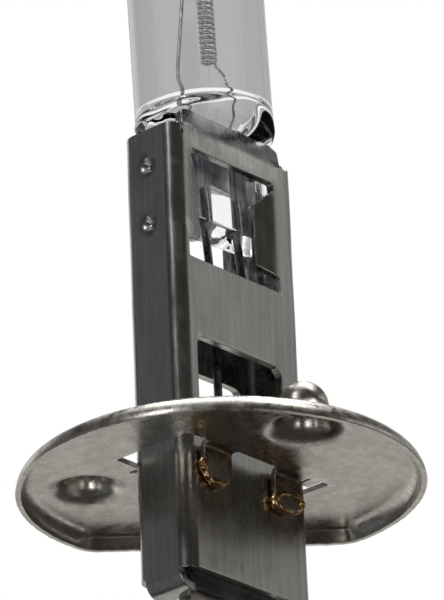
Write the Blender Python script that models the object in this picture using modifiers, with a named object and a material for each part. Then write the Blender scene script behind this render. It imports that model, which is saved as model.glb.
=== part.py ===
"""Single-filament halogen headlight bulb with a flanged metal cap and a blade terminal.

Metres, +Z up. The origin is where the bulb's axis crosses the reference plane, the flat top
of the flange. +Z points to the glass tip and +Y to the flat on the flange's rim. The clamp
sleeve is turned about the axis against that flat, and the glass burner stands very slightly
out of true in the sleeve, as a clamped burner does.
"""

import math

import bmesh
import bpy
from mathutils import Vector

MM = 0.001

# Flange: a shallow pressed pan, lip down
FLANGE_RADIUS = 10.5 * MM
FLANGE_SHEET = 0.45 * MM
FLANGE_FLAT = 7.95 * MM
RIM_BEND = 1.4 * MM
RIM_DROP = 0.95 * MM
RIM_CORNER_POWER = 44
RIM_POINTS = 84
RIM_STEPS = 4
BOSS_CIRCLE = 7.0 * MM
BOSS_ANGLES = (-54, 167)
BOSS_HEIGHT = 2.28 * MM
BOSS_DOME = 1.3 * MM
BOSS_SIDE_ANGLE = 5
BOSS_FILLET = 1.19 * MM

# Clamp sleeve: a folded strip of sheet, a flat rectangular tube
SLEEVE_TURN = 47
SLEEVE_HALF_WIDTH = 4.7 * MM
SLEEVE_HALF_DEPTH = 1.9 * MM
SLEEVE_SHEET = 0.45 * MM
SLEEVE_BEND = 0.85 * MM
SLEEVE_BOTTOM = -6.8 * MM
SLEEVE_SHOULDER = 17.9 * MM
TAB_TOP = 19.0 * MM
TAB_FOLD = 17.6 * MM
TAB_HALF_WIDTH = 3.9 * MM
TAB_LEAN = 9
TAB_CORNER = 1.1 * MM
SEAM_GAP = 0.12 * MM
FOOT_BEND = 0.95 * MM
FOOT_HALF_WIDTH = 1.2 * MM
FOOT_END = 3.35 * MM
UPPER_WINDOW = (10.4 * MM, 16.6 * MM)
UPPER_WINDOW_HALF = 3.15 * MM
LOWER_WINDOW = (0.7 * MM, 6.05 * MM)
LOWER_WINDOW_HALF = 3.2 * MM
LOWER_WINDOW_SHIFT = -0.3 * MM
LOWER_WINDOW_CORNER = 0.6 * MM
LIP_SLOT_TOP = 11.15 * MM
LIP_ROOT = 3.8 * MM
LIP_TOP = 16.1 * MM
LIP_PUSH = 0.3 * MM
DIMPLE_HEIGHTS = (12.55 * MM, 15.85 * MM)
DIMPLE_RADIUS = 0.62 * MM
DIMPLE_DEPTH = 0.22 * MM

# Tongues bent down from the flange onto the wide faces of the sleeve
TONGUE_HALF_WIDTH = 1.03 * MM
TONGUE_INNER_BEND = 0.3 * MM
TONGUE_DROP = 2.0 * MM
TONGUE_SLIT = 0.28 * MM
SLIT_END = 3.15 * MM
OPENING_EDGE = 2.65 * MM
OPENING_LEFT = 5.45 * MM
OPENING_RIGHT = 4.98 * MM
FRONT_TONGUES = (-2.75 * MM, 2.55 * MM)
FOLD_LINE = 2.75 * MM
OPENING_GAP = 0.06 * MM
WELD_RADIUS = 0.17 * MM

# Burner: quartz envelope, pinch and everything sealed in it
BURNER_TILT = -2.4
PINCH_CENTRE = 15.65 * MM
PINCH_HALF_WIDTH = 3.95 * MM
PINCH_HALF_DEPTH = 1.1 * MM
PINCH_BOTTOM = 13.4 * MM
TUBE_RADIUS = 3.62 * MM
TUBE_WALL = 0.85 * MM
CAVITY_BOTTOM = 19.85 * MM
DOME_START = 35.6 * MM
TIP_TOP = 41.0 * MM
TIP_RADIUS = 1.0 * MM
RING_POINTS = 36

COIL_X = 0.57 * MM
COIL_Y = -0.15 * MM
COIL_BOTTOM = 23.2 * MM
COIL_PITCH = 0.29 * MM
COIL_TURNS = 18
COIL_RADIUS = 0.38 * MM
COIL_WIRE = 0.08 * MM
COIL_STEPS = 10

FOIL_HALF_WIDTH = 0.65 * MM
FOIL_HALF_THICKNESS = 0.03 * MM
FOIL_CENTRES = (("moly_foil_live", -1.1 * MM), ("moly_foil_ground", 1.7 * MM))
FOIL_SPAN = (13.95 * MM, 18.95 * MM)
RETURN_WIRE = 0.09 * MM
LOWER_WIRE = 0.07 * MM
OUTER_WIRE = 0.22 * MM
SEAT_GAP = 0.04 * MM
OUTER_WIRE_TOP = 15.6 * MM

# Foot: insulator and blade
INSULATOR_SPAN = (-7.25 * MM, -3.2 * MM)
INSULATOR_HALF_WIDTH = 4.13 * MM
INSULATOR_HALF_DEPTH = 1.37 * MM
BLADE_HALF_WIDTH = 3.15 * MM
BLADE_HALF_THICKNESS = 0.4 * MM
BLADE_SPAN = (-18.5 * MM, -2.6 * MM)
BLADE_HOLE = 0.85 * MM
BLADE_HOLE_UP = 4.1 * MM
BLADE_CHAMFER = 1.2 * MM


def clear_scene():
    for old in list(bpy.data.objects):
        bpy.data.objects.remove(old, do_unlink=True)


def new_collection(name):
    found = bpy.data.collections.get(name) or bpy.data.collections.new(name)
    if name not in bpy.context.scene.collection.children:
        bpy.context.scene.collection.children.link(found)
    return found


clear_scene()
PARTS = new_collection("headlight_bulb")
TOOLS = new_collection("cutters")


def frame_empty(name, parent=None, location=(0, 0, 0), rotation=(0, 0, 0)):
    empty = bpy.data.objects.new(name, None)
    PARTS.objects.link(empty)
    empty.parent = parent
    empty.location = location
    empty.rotation_euler = rotation
    return empty


SLEEVE_FRAME = frame_empty("sleeve_frame", rotation=(0, 0, math.radians(SLEEVE_TURN)))
BURNER_FRAME = frame_empty(
    "burner_frame",
    SLEEVE_FRAME,
    location=(0, 0, PINCH_CENTRE),
    rotation=(0, math.radians(BURNER_TILT), 0),
)


def make_material(name, color, metallic, roughness):
    material = bpy.data.materials.new(name)
    material.use_nodes = True
    shader = material.node_tree.nodes["Principled BSDF"]
    shader.inputs["Base Color"].default_value = (*color, 1)
    shader.inputs["Metallic"].default_value = metallic
    shader.inputs["Roughness"].default_value = roughness
    return material


def add_object(name, data, parent=None, material=None, cutter=False):
    """Link an object; a cutter is hidden from renders and drawn as wire."""
    made = bpy.data.objects.new(name, data)
    (TOOLS if cutter else PARTS).objects.link(made)
    made.parent = parent
    if material:
        data.materials.append(material)
    if cutter:
        made.hide_render = True
        made.display_type = "WIRE"
    return made


def mesh_from(bm, name):
    bmesh.ops.recalc_face_normals(bm, faces=bm.faces)
    mesh = bpy.data.meshes.new(name)
    bm.to_mesh(mesh)
    bm.free()
    return mesh


def box_mesh(name, low, high, round_edges=(), radius=0.0, segments=3):
    """A box between two corners. round_edges names the axes whose edges are rounded."""
    bm = bmesh.new()
    size = Vector(high) - Vector(low)
    middle = (Vector(high) + Vector(low)) / 2
    bmesh.ops.create_cube(bm, size=1)
    bmesh.ops.scale(bm, vec=size, verts=bm.verts)
    bmesh.ops.translate(bm, vec=middle, verts=bm.verts)
    chosen = []
    for edge in bm.edges:
        run = edge.verts[1].co - edge.verts[0].co
        if any(abs(run[axis]) > size[axis] / 2 for axis in round_edges):
            chosen.append(edge)
    if chosen:
        bmesh.ops.bevel(bm, geom=chosen, offset=radius, segments=segments, affect="EDGES")
    return mesh_from(bm, name)


def loft_mesh(name, rings):
    """A closed skin through rings of points, lowest first, with flat ends."""
    bm = bmesh.new()
    rows = [[bm.verts.new(point) for point in ring] for ring in rings]
    for lower, upper in zip(rows, rows[1:]):
        count = len(lower)
        for i in range(count):
            j = (i + 1) % count
            bm.faces.new((lower[i], lower[j], upper[j], upper[i]))
    bm.faces.new(rows[0])
    bm.faces.new(rows[-1])
    return mesh_from(bm, name)


def oval_ring(half_x, half_y, z, power):
    """A superellipse ring; power 2 is an ellipse, more is squarer."""
    ring = []
    for i in range(RING_POINTS):
        angle = 2 * math.pi * i / RING_POINTS
        c, s = math.cos(angle), math.sin(angle)
        scale = (abs(c) ** power + abs(s) ** power) ** (-1 / power)
        ring.append((half_x * c * scale, half_y * s * scale, z))
    return ring


def wire_object(name, points, radius, parent, material=None, cutter=False):
    """A round wire through points as a poly curve with filled ends."""
    curve = bpy.data.curves.new(name, "CURVE")
    curve.dimensions = "3D"
    curve.bevel_depth = radius
    curve.bevel_resolution = 2
    curve.use_fill_caps = True
    spline = curve.splines.new("POLY")
    spline.points.add(len(points) - 1)
    for point, place in zip(spline.points, points):
        point.co = (*place, 1)
    return add_object(name, curve, parent, material, cutter)


def turned_to_mesh(made):
    """Replace a curve object by a mesh object of the same shape, its caps welded on."""
    bpy.context.view_layer.update()
    depsgraph = bpy.context.evaluated_depsgraph_get()
    mesh = bpy.data.meshes.new_from_object(made.evaluated_get(depsgraph))
    bm = bmesh.new()
    bm.from_mesh(mesh)
    bmesh.ops.remove_doubles(bm, verts=bm.verts, dist=1e-7)
    bmesh.ops.recalc_face_normals(bm, faces=bm.faces)
    bm.to_mesh(mesh)
    bm.free()
    solid = add_object(made.name + "_solid", mesh, cutter=True)
    solid.matrix_world = made.matrix_world.copy()
    bpy.data.objects.remove(made, do_unlink=True)
    return solid


def plate_object(name, outline, thickness, parent):
    """A flat plate of that outline, lying in its parent's XY plane, as a mesh."""
    curve = bpy.data.curves.new(name, "CURVE")
    curve.dimensions = "2D"
    curve.fill_mode = "BOTH"
    curve.extrude = thickness / 2
    spline = curve.splines.new("POLY")
    spline.points.add(len(outline) - 1)
    spline.use_cyclic_u = True
    for point, (x, y) in zip(spline.points, outline):
        point.co = (x, y, 0, 1)
    return turned_to_mesh(add_object(name, curve, parent, cutter=True))


def smooth_path(points, steps):
    """Points along a Catmull-Rom curve through the given ones."""
    ends = [points[0], *points, points[-1]]
    path = []
    for a, b, c, d in zip(ends, ends[1:], ends[2:], ends[3:]):
        a, b, c, d = Vector(a), Vector(b), Vector(c), Vector(d)
        for i in range(steps):
            t = i / steps
            path.append(
                0.5 * (2 * b + (c - a) * t + (2 * a - 5 * b + 4 * c - d) * t**2
                       + (3 * b - a - 3 * c + d) * t**3)
            )
    path.append(Vector(points[-1]))
    return path


def combine(target, tool, operation="DIFFERENCE"):
    change = target.modifiers.new(tool.name, "BOOLEAN")
    change.operation = operation
    change.object = tool
    change.solver = "EXACT"


def shade_round(made, angle=35):
    made.data.shade_smooth()
    made.data.set_sharp_from_angle(angle=math.radians(angle))


def baked(made):
    """The object's mesh with its modifiers applied, so that vertices can be moved."""
    bpy.context.view_layer.update()
    depsgraph = bpy.context.evaluated_depsgraph_get()
    mesh = bpy.data.meshes.new_from_object(made.evaluated_get(depsgraph))
    made.modifiers.clear()
    made.data = mesh
    return made


# ---------------------------------------------------------------- flange


def rim_outline(inset, z):
    """The rim's outline drawn in by inset: a circle cut by the flat, its corners rounded."""
    ring = []
    for i in range(RIM_POINTS):
        angle = 2 * math.pi * (i + 0.5) / RIM_POINTS
        reach = (FLANGE_RADIUS - inset) ** -RIM_CORNER_POWER
        if math.sin(angle) > 0:
            reach += ((FLANGE_FLAT - inset) / math.sin(angle)) ** -RIM_CORNER_POWER
        radius = reach ** (-1 / RIM_CORNER_POWER)
        ring.append((radius * math.cos(angle), radius * math.sin(angle), z))
    return ring


def pan_mesh():
    """The pan's upper skin: flat middle, then the rim bending down to its cut edge."""
    end = math.asin(1 - RIM_DROP / RIM_BEND)
    bm = bmesh.new()
    rows = []
    for step in range(RIM_STEPS + 1):
        angle = end + (math.pi / 2 - end) * step / RIM_STEPS
        inset = RIM_BEND * (math.cos(end) - math.cos(angle))
        ring = rim_outline(inset, RIM_BEND * (math.sin(angle) - 1))
        rows.append([bm.verts.new(point) for point in ring])
    for outer, inner in zip(rows, rows[1:]):
        for i in range(RIM_POINTS):
            j = (i + 1) % RIM_POINTS
            bm.faces.new((outer[i], outer[j], inner[j], inner[i]))
    bm.faces.new(rows[-1])
    mesh = bpy.data.meshes.new("flange")
    bm.normal_update()
    bm.to_mesh(mesh)
    bm.free()
    return mesh


def boss_profile(inset):
    """Half section of a boss: a dome on a flaring foot, moved in by the sheet's thickness."""
    side = math.radians(BOSS_SIDE_ANGLE)
    dome_z = BOSS_HEIGHT - BOSS_DOME
    joint = Vector((BOSS_DOME * math.cos(side), dome_z + BOSS_DOME * math.sin(side)))
    foot = joint + BOSS_FILLET * Vector((math.cos(side), math.sin(side)))
    points = []
    for step in range(7):
        angle = math.pi / 2 + (side - math.pi / 2) * step / 6
        reach = BOSS_DOME - inset
        points.append((reach * math.cos(angle), dome_z + reach * math.sin(angle)))
    for step in range(1, 5):
        angle = math.pi + side + (math.radians(262) - math.pi - side) * step / 4
        reach = BOSS_FILLET + inset
        points.append((foot.x + reach * math.cos(angle), foot.y + reach * math.sin(angle)))
    return points


def boss_solid(name, angle, inset, floor):
    """A turned solid under the boss profile, down to floor."""
    points = boss_profile(inset)
    outline = [*points, (points[-1][0], floor), (0, floor)]
    outline[0] = (0, outline[0][1])
    bm = bmesh.new()
    verts = [bm.verts.new((x, 0, z)) for x, z in outline]
    for a, b in zip(verts, verts[1:]):
        bm.edges.new((a, b))
    mesh = bpy.data.meshes.new(name)
    bm.to_mesh(mesh)
    bm.free()
    solid = add_object(name, mesh, cutter=True)
    spin = math.radians(angle)
    solid.location = (BOSS_CIRCLE * math.cos(spin), BOSS_CIRCLE * math.sin(spin), 0)
    screw = solid.modifiers.new("turn", "SCREW")
    screw.steps = 24
    screw.render_steps = 24
    screw.use_merge_vertices = True
    screw.merge_threshold = 1e-6
    screw.use_smooth_shade = True
    return solid


def tongue_mesh(name, side):
    """A strip from the flange that turns down beside the sleeve and ends in a half round."""
    sheet = FLANGE_SHEET - 0.03 * MM
    half = sheet / 2
    face = SLEEVE_HALF_DEPTH + 0.05 * MM + half
    level = -FLANGE_SHEET / 2
    bend = TONGUE_INNER_BEND + half
    width = TONGUE_HALF_WIDTH - 0.01 * MM
    path = [(face + bend + 1.0 * MM, level, width)]
    for step in range(6):
        angle = math.pi / 2 * step / 5
        path.append(
            (face + bend - bend * math.sin(angle), level - bend + bend * math.cos(angle), width)
        )
    centre = -TONGUE_DROP + TONGUE_HALF_WIDTH
    for step in range(6):
        angle = math.radians(80) * step / 5
        path.append(
            (face, centre - width * math.sin(angle), width * math.cos(angle))
        )
    bm = bmesh.new()
    rows = []
    for y, z, reach in path:
        rows.append([bm.verts.new((x, side * y, z)) for x in (-reach, reach)])
    for a, b in zip(rows, rows[1:]):
        bm.faces.new((a[0], a[1], b[1], b[0]))
    mesh = bpy.data.meshes.new(name)
    bm.to_mesh(mesh)
    bm.free()
    return mesh, sheet


def tongue_places():
    """Place along the sleeve and side of it. The back repeats the front, turned half round."""
    return [(-side * x, side) for side in (-1, 1) for x in FRONT_TONGUES]


def opening_outline():
    """What is punched out of the flange: a roomy opening, and slits beside each tongue."""
    half_y = SLEEVE_HALF_DEPTH + OPENING_GAP
    front = []
    for x in FRONT_TONGUES:
        left, right = x - TONGUE_HALF_WIDTH, x + TONGUE_HALF_WIDTH
        front += [(left - TONGUE_SLIT, -OPENING_EDGE), (left - TONGUE_SLIT, -SLIT_END)]
        front += [(left, -SLIT_END), (left, -FOLD_LINE), (right, -FOLD_LINE)]
        front += [(right, -SLIT_END), (right + TONGUE_SLIT, -SLIT_END)]
        front += [(right + TONGUE_SLIT, -OPENING_EDGE)]
    front[-1] = (front[-1][0], -half_y)
    back = [(-x, -y) for x, y in front]
    left = [(-OPENING_LEFT, half_y), (-OPENING_LEFT, -OPENING_EDGE)]
    right = [(OPENING_RIGHT, -half_y), (OPENING_RIGHT, OPENING_EDGE)]
    return left + front + right + back


def make_flange(material):
    flange = add_object("flange", pan_mesh(), material=material)
    shell = flange.modifiers.new("sheet", "SOLIDIFY")
    shell.thickness = FLANGE_SHEET
    shell.offset = -1
    shell.use_even_offset = True
    for i, angle in enumerate(BOSS_ANGLES):
        combine(flange, boss_solid(f"boss_{i}", angle, 0, -0.2 * MM), "UNION")
        hollow = boss_solid(f"boss_hollow_{i}", angle, FLANGE_SHEET, -0.7 * MM)
        combine(flange, hollow)
    combine(flange, plate_object("opening", opening_outline(), 2 * MM, SLEEVE_FRAME))
    for i, (x, side) in enumerate(tongue_places()):
        mesh, sheet = tongue_mesh(f"tongue_{i}", side)
        tongue = add_object(f"tongue_{i}", mesh, SLEEVE_FRAME, cutter=True)
        tongue.location = (x, 0, 0)
        thick = tongue.modifiers.new("sheet", "SOLIDIFY")
        thick.thickness = sheet
        thick.offset = 0
        thick.use_even_offset = True
        combine(flange, tongue, "UNION")
    return flange


def make_flange_welds(material):
    """A crescent bead round the end of each tongue, lying on the sleeve."""
    for i, (x, side) in enumerate(tongue_places()):
        reach = TONGUE_HALF_WIDTH + WELD_RADIUS + 0.03 * MM
        centre = -TONGUE_DROP + TONGUE_HALF_WIDTH
        y = side * (SLEEVE_HALF_DEPTH + WELD_RADIUS + 0.02 * MM)
        points = []
        for step in range(13):
            angle = math.radians(-165 + 150 * step / 12)
            points.append((x + reach * math.cos(angle), y, centre + reach * math.sin(angle)))
        wire_object(f"flange_weld_{i + 1}", points, WELD_RADIUS, SLEEVE_FRAME, material)


# ---------------------------------------------------------------- sleeve


def sleeve_ring(z):
    """The sleeve's outer outline: straight walls joined by rounded folds."""
    ring = []
    for corner in range(4):
        sign_x = (1, -1, -1, 1)[corner]
        sign_y = (1, 1, -1, -1)[corner]
        centre_x = sign_x * (SLEEVE_HALF_WIDTH - SLEEVE_BEND)
        centre_y = sign_y * (SLEEVE_HALF_DEPTH - SLEEVE_BEND)
        for step in range(6):
            angle = math.pi / 2 * (corner + step / 5)
            ring.append(
                (centre_x + SLEEVE_BEND * math.cos(angle),
                 centre_y + SLEEVE_BEND * math.sin(angle), z)
            )
    return ring


def sleeve_skin():
    bm = bmesh.new()
    rows = []
    for z in (SLEEVE_BOTTOM, TAB_TOP):
        rows.append([bm.verts.new(point) for point in sleeve_ring(z)])
    count = len(rows[0])
    for i in range(count):
        j = (i + 1) % count
        bm.faces.new((rows[0][i], rows[0][j], rows[1][j], rows[1][i]))
    mesh = bpy.data.meshes.new("clamp_sleeve")
    bm.normal_update()
    bm.to_mesh(mesh)
    bm.free()
    return mesh


def sleeve_cutters():
    """Name and mesh of each opening in the sleeve."""
    deep = 4 * MM
    shift = LOWER_WINDOW_SHIFT
    for side in (-1, 1):
        middle = -side * shift
        low_y, high_y = sorted((side * 1.0 * MM, side * deep))
        yield f"lower_window_{side}", box_mesh(
            "lower_window",
            (middle - LOWER_WINDOW_HALF, low_y, LOWER_WINDOW[0]),
            (middle + LOWER_WINDOW_HALF, high_y, LOWER_WINDOW[1]),
            (1,), LOWER_WINDOW_CORNER, 4,
        )
        yield f"shoulder_{side}", box_mesh(
            "shoulder",
            (min(side * TAB_HALF_WIDTH, side * 6 * MM), -deep, SLEEVE_SHOULDER),
            (max(side * TAB_HALF_WIDTH, side * 6 * MM), deep, 21 * MM),
            (1,), 0.25 * MM,
        )
        yield f"relief_{side}", box_mesh(
            "relief",
            (min(side * LIP_ROOT, side * (LIP_ROOT + 0.32 * MM)), -deep, TAB_FOLD - 0.25 * MM),
            (max(side * LIP_ROOT, side * (LIP_ROOT + 0.32 * MM)), deep, SLEEVE_SHOULDER + 0.5 * MM),
            (1,), 0.14 * MM,
        )
    yield "upper_window", box_mesh(
        "upper_window",
        (-UPPER_WINDOW_HALF, -deep, UPPER_WINDOW[0]),
        (UPPER_WINDOW_HALF, deep, UPPER_WINDOW[1]),
        (1,), 0.12 * MM,
    )
    yield "lip_slot", box_mesh(
        "lip_slot",
        (-LIP_ROOT, -deep, UPPER_WINDOW[0] + 0.02 * MM),
        (LIP_ROOT, deep, LIP_SLOT_TOP),
        (1,), 0.1 * MM,
    )
    yield "seam", box_mesh(
        "seam",
        (-SEAM_GAP / 2, 1.0 * MM, SLEEVE_BOTTOM - MM),
        (SEAM_GAP / 2, deep, TAB_TOP + MM),
    )


def press_dimples(sleeve):
    """Round dimples in the narrow walls: a bump inside, then a hollow outside."""
    wall = SLEEVE_HALF_WIDTH
    for side in (-1, 1):
        for i, z in enumerate(DIMPLE_HEIGHTS):
            for kind, radius in (("bump", DIMPLE_RADIUS + SLEEVE_SHEET / 2), ("hollow", DIMPLE_RADIUS)):
                bm = bmesh.new()
                bmesh.ops.create_uvsphere(bm, u_segments=16, v_segments=9, radius=radius)
                name = f"dimple_{kind}_{side}_{i}"
                ball = add_object(name, mesh_from(bm, name), SLEEVE_FRAME, cutter=True)
                middle = wall - DIMPLE_DEPTH + DIMPLE_RADIUS
                if kind == "bump":
                    middle = wall - SLEEVE_SHEET - DIMPLE_DEPTH + radius
                ball.location = (side * middle, 0, z)
                if kind == "bump":
                    low_x, high_x = sorted((side * (wall - 0.2 * MM), side * (wall + 2 * MM)))
                    name = f"shave_{side}_{i}"
                    shave = box_mesh(name, (low_x, -MM, z - MM), (high_x, MM, z + MM))
                    combine(ball, add_object(name, shave, SLEEVE_FRAME, cutter=True))
                combine(sleeve, ball, "UNION" if kind == "bump" else "DIFFERENCE")


def fold_foot(sleeve):
    """The narrow walls' lower ends, folded in under the insulator to hold it."""
    middle = SLEEVE_SHEET / 2
    bend = FOOT_BEND - middle
    for side in (-1, 1):
        path = [(SLEEVE_HALF_WIDTH - middle, SLEEVE_BOTTOM + 0.5 * MM)]
        for step in range(7):
            angle = math.pi / 2 * step / 6
            path.append(
                (SLEEVE_HALF_WIDTH - FOOT_BEND + bend * math.cos(angle),
                 SLEEVE_BOTTOM - bend * math.sin(angle))
            )
        path.append((FOOT_END, SLEEVE_BOTTOM - bend))
        bm = bmesh.new()
        rows = []
        for x, z in path:
            rows.append([bm.verts.new((side * x, y, z)) for y in (-FOOT_HALF_WIDTH, FOOT_HALF_WIDTH)])
        for a, b in zip(rows, rows[1:]):
            bm.faces.new((a[0], a[1], b[1], b[0]))
        mesh = bpy.data.meshes.new("foot")
        bm.to_mesh(mesh)
        bm.free()
        foot = add_object(f"foot_{side}", mesh, SLEEVE_FRAME, cutter=True)
        thick = foot.modifiers.new("sheet", "SOLIDIFY")
        thick.thickness = SLEEVE_SHEET - 0.004 * MM
        thick.offset = 0
        thick.use_even_offset = True
        combine(sleeve, foot, "UNION")


def bend_tabs_and_lips(sleeve):
    """Lean the top tabs in over the pinch, and press the upper windows' side lips inwards."""
    baked(sleeve)
    bm = bmesh.new()
    bm.from_mesh(sleeve.data)
    cuts = [((0, 0, TAB_FOLD), (0, 0, 1))]
    cuts += [((0, 0, z * MM), (0, 0, 1)) for z in (12.4, 13.6, 14.8, 15.5)]
    cuts += [((0, 0, LIP_TOP), (0, 0, 1)), ((LIP_ROOT, 0, 0), (1, 0, 0)), ((-LIP_ROOT, 0, 0), (1, 0, 0))]
    for place, normal in cuts:
        geometry = bm.verts[:] + bm.edges[:] + bm.faces[:]
        bmesh.ops.bisect_plane(bm, geom=geometry, dist=1e-7, plane_co=place, plane_no=normal)
    lean = math.tan(math.radians(TAB_LEAN))
    tiny = 1e-6
    for vert in bm.verts:
        x, y, z = vert.co
        if z > TAB_FOLD + tiny and abs(x) < TAB_HALF_WIDTH + tiny:
            vert.co.y -= math.copysign((z - TAB_FOLD) * lean, y)
        on_edge = abs(abs(x) - UPPER_WINDOW_HALF) < 0.02 * MM
        if on_edge and LIP_SLOT_TOP - tiny < z < LIP_TOP - tiny and abs(y) > MM:
            fade = min(1.0, (LIP_TOP - z) / (1.2 * MM))
            vert.co.y -= math.copysign(LIP_PUSH * fade, y)
    bm.to_mesh(sleeve.data)
    bm.free()


def make_sleeve(material):
    sleeve = add_object("clamp_sleeve", sleeve_skin(), SLEEVE_FRAME, material)
    shell = sleeve.modifiers.new("sheet", "SOLIDIFY")
    shell.thickness = SLEEVE_SHEET
    shell.offset = -1
    shell.use_even_offset = True
    for name, mesh in sleeve_cutters():
        combine(sleeve, add_object(name, mesh, SLEEVE_FRAME, cutter=True))
    press_dimples(sleeve)
    fold_foot(sleeve)
    bend_tabs_and_lips(sleeve)
    shade_round(sleeve)


# ---------------------------------------------------------------- burner


def local(points):
    """Points given on the bulb's own heights, moved into the burner's frame."""
    return [(x, y, z - PINCH_CENTRE) for x, y, z in points]


def envelope_rings():
    """Outer skin: flat pinch, shoulder, tube, dome and the sealed exhaust tip."""
    half_x, half_y = PINCH_HALF_WIDTH, PINCH_HALF_DEPTH
    rings = [
        (PINCH_BOTTOM, half_x - 0.35 * MM, half_y - 0.35 * MM, 5),
        (PINCH_BOTTOM + 0.1 * MM, half_x - 0.1 * MM, half_y - 0.12 * MM, 5),
        (PINCH_BOTTOM + 0.35 * MM, half_x, half_y, 5),
        (19.1 * MM, half_x, half_y, 5),
    ]
    shoulder = 0.8 * MM
    for step in range(1, 6):
        angle = math.pi / 2 * step / 5
        rise = 19.1 * MM + shoulder * (1 - math.cos(angle))
        wide = half_x + (TUBE_RADIUS - half_x) * step / 5
        deep = half_y + (TUBE_RADIUS - half_y) * math.sin(angle)
        rings.append((rise, wide, deep, 5 - 3 * math.sin(angle)))
    rings.append((DOME_START, TUBE_RADIUS, TUBE_RADIUS, 2))
    height = TIP_TOP - DOME_START - 1.6 * MM
    for step in range(1, 6):
        angle = math.radians(13.5) * step
        reach = TUBE_RADIUS * math.cos(angle)
        rings.append((DOME_START + height * math.sin(angle), reach, reach, 2))
    for up, reach in ((0.15, 1.0), (0.6, 0.72), (1.1, 0.5), (1.5, 0.25)):
        z = TIP_TOP - 1.5 * MM + up * MM
        rings.append((z, TIP_RADIUS * reach, TIP_RADIUS * reach, 2))
    return [oval_ring(x, y, z - PINCH_CENTRE, power) for z, x, y, power in rings]


def cavity_rings():
    """The gas space: a flat bottom close above the pinch, the tube's bore and its dome."""
    bore = TUBE_RADIUS - TUBE_WALL
    rings = [
        (CAVITY_BOTTOM, 2.1 * MM, 1.9 * MM, 2),
        (CAVITY_BOTTOM + 0.1 * MM, 2.45 * MM, 2.3 * MM, 2),
        (CAVITY_BOTTOM + 0.35 * MM, 2.7 * MM, 2.6 * MM, 2),
        (CAVITY_BOTTOM + 0.8 * MM, bore, bore, 2),
        (DOME_START, bore, bore, 2),
    ]
    height = TIP_TOP - DOME_START - 2.6 * MM
    for step in range(1, 6):
        angle = math.radians(16.5) * step
        reach = bore * math.cos(angle)
        rings.append((DOME_START + height * math.sin(angle), reach, reach, 2))
    return [oval_ring(x, y, z - PINCH_CENTRE, power) for z, x, y, power in rings]


def lead_side(radius):
    """How far in front of the foils a lead of this radius lies."""
    return -(FOIL_HALF_THICKNESS + SEAT_GAP + radius)


def live_lead_points():
    y = lead_side(OUTER_WIRE)
    below = [
        (-0.8 * MM, y, 12.3 * MM), (-0.75 * MM, y, 11.2 * MM), (-0.55 * MM, -0.15 * MM, 8.5 * MM),
        (-0.4 * MM, 0, 5.2 * MM), (-0.5 * MM, 0, 1.5 * MM), (-0.75 * MM, 0, -1.85 * MM),
    ]
    return [(-1.05 * MM, y, OUTER_WIRE_TOP), *smooth_path(below, 4)]


def ground_lead_points():
    y = lead_side(OUTER_WIRE)
    below = [
        (1.7 * MM, y, 12.3 * MM), (1.8 * MM, y, 11.3 * MM), (2.35 * MM, -0.2 * MM, 10.1 * MM),
        (3.1 * MM, 0, 9.0 * MM), (3.5 * MM, 0, 8.0 * MM), (3.55 * MM, 0, 7.2 * MM),
    ]
    return [(1.45 * MM, y, OUTER_WIRE_TOP), *smooth_path(below, 4)]


def return_lead_points():
    y = lead_side(RETURN_WIRE)
    above = [
        (-1.6 * MM, y, 20.0 * MM), (-1.62 * MM, y, 21.0 * MM), (-1.74 * MM, 0, 22.0 * MM),
        (-1.38 * MM, 0, 24.5 * MM), (-0.86 * MM, 0, 27.6 * MM), (-0.6 * MM, 0, 29.0 * MM),
        (-0.1 * MM, -0.08 * MM, 29.9 * MM), (0.48 * MM, COIL_Y, 29.95 * MM),
        (0.78 * MM, COIL_Y, 29.6 * MM),
    ]
    return [(-1.6 * MM, y, 18.4 * MM), *smooth_path(above, 4)]


def lower_lead_points():
    y = lead_side(LOWER_WIRE)
    return [
        (1.6 * MM, y, 18.6 * MM), (1.7 * MM, y, 20.0 * MM), (1.9 * MM, -0.3 * MM, 20.9 * MM),
        (1.78 * MM, -0.4 * MM, 21.4 * MM), (1.62 * MM, -0.4 * MM, 22.0 * MM),
        (1.6 * MM, -0.4 * MM, 22.3 * MM),
    ]


def coil_points():
    """The lower leg, the turns and the upper leg of the filament."""
    points = [(1.5 * MM, -0.4 * MM, 22.66 * MM), (0.75 * MM, -0.4 * MM, 23.0 * MM)]
    for step in range(COIL_TURNS * COIL_STEPS + 1):
        angle = math.radians(-90) - 2 * math.pi * step / COIL_STEPS
        points.append(
            (COIL_X + COIL_RADIUS * math.cos(angle), COIL_Y + COIL_RADIUS * math.sin(angle),
             COIL_BOTTOM + COIL_PITCH * step / COIL_STEPS)
        )
    top = COIL_BOTTOM + COIL_PITCH * COIL_TURNS
    points.append((COIL_X + 0.18 * MM, COIL_Y - 0.28 * MM, top + 0.35 * MM))
    points.append((0.78 * MM, COIL_Y, top + 0.72 * MM))
    return points


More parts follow.
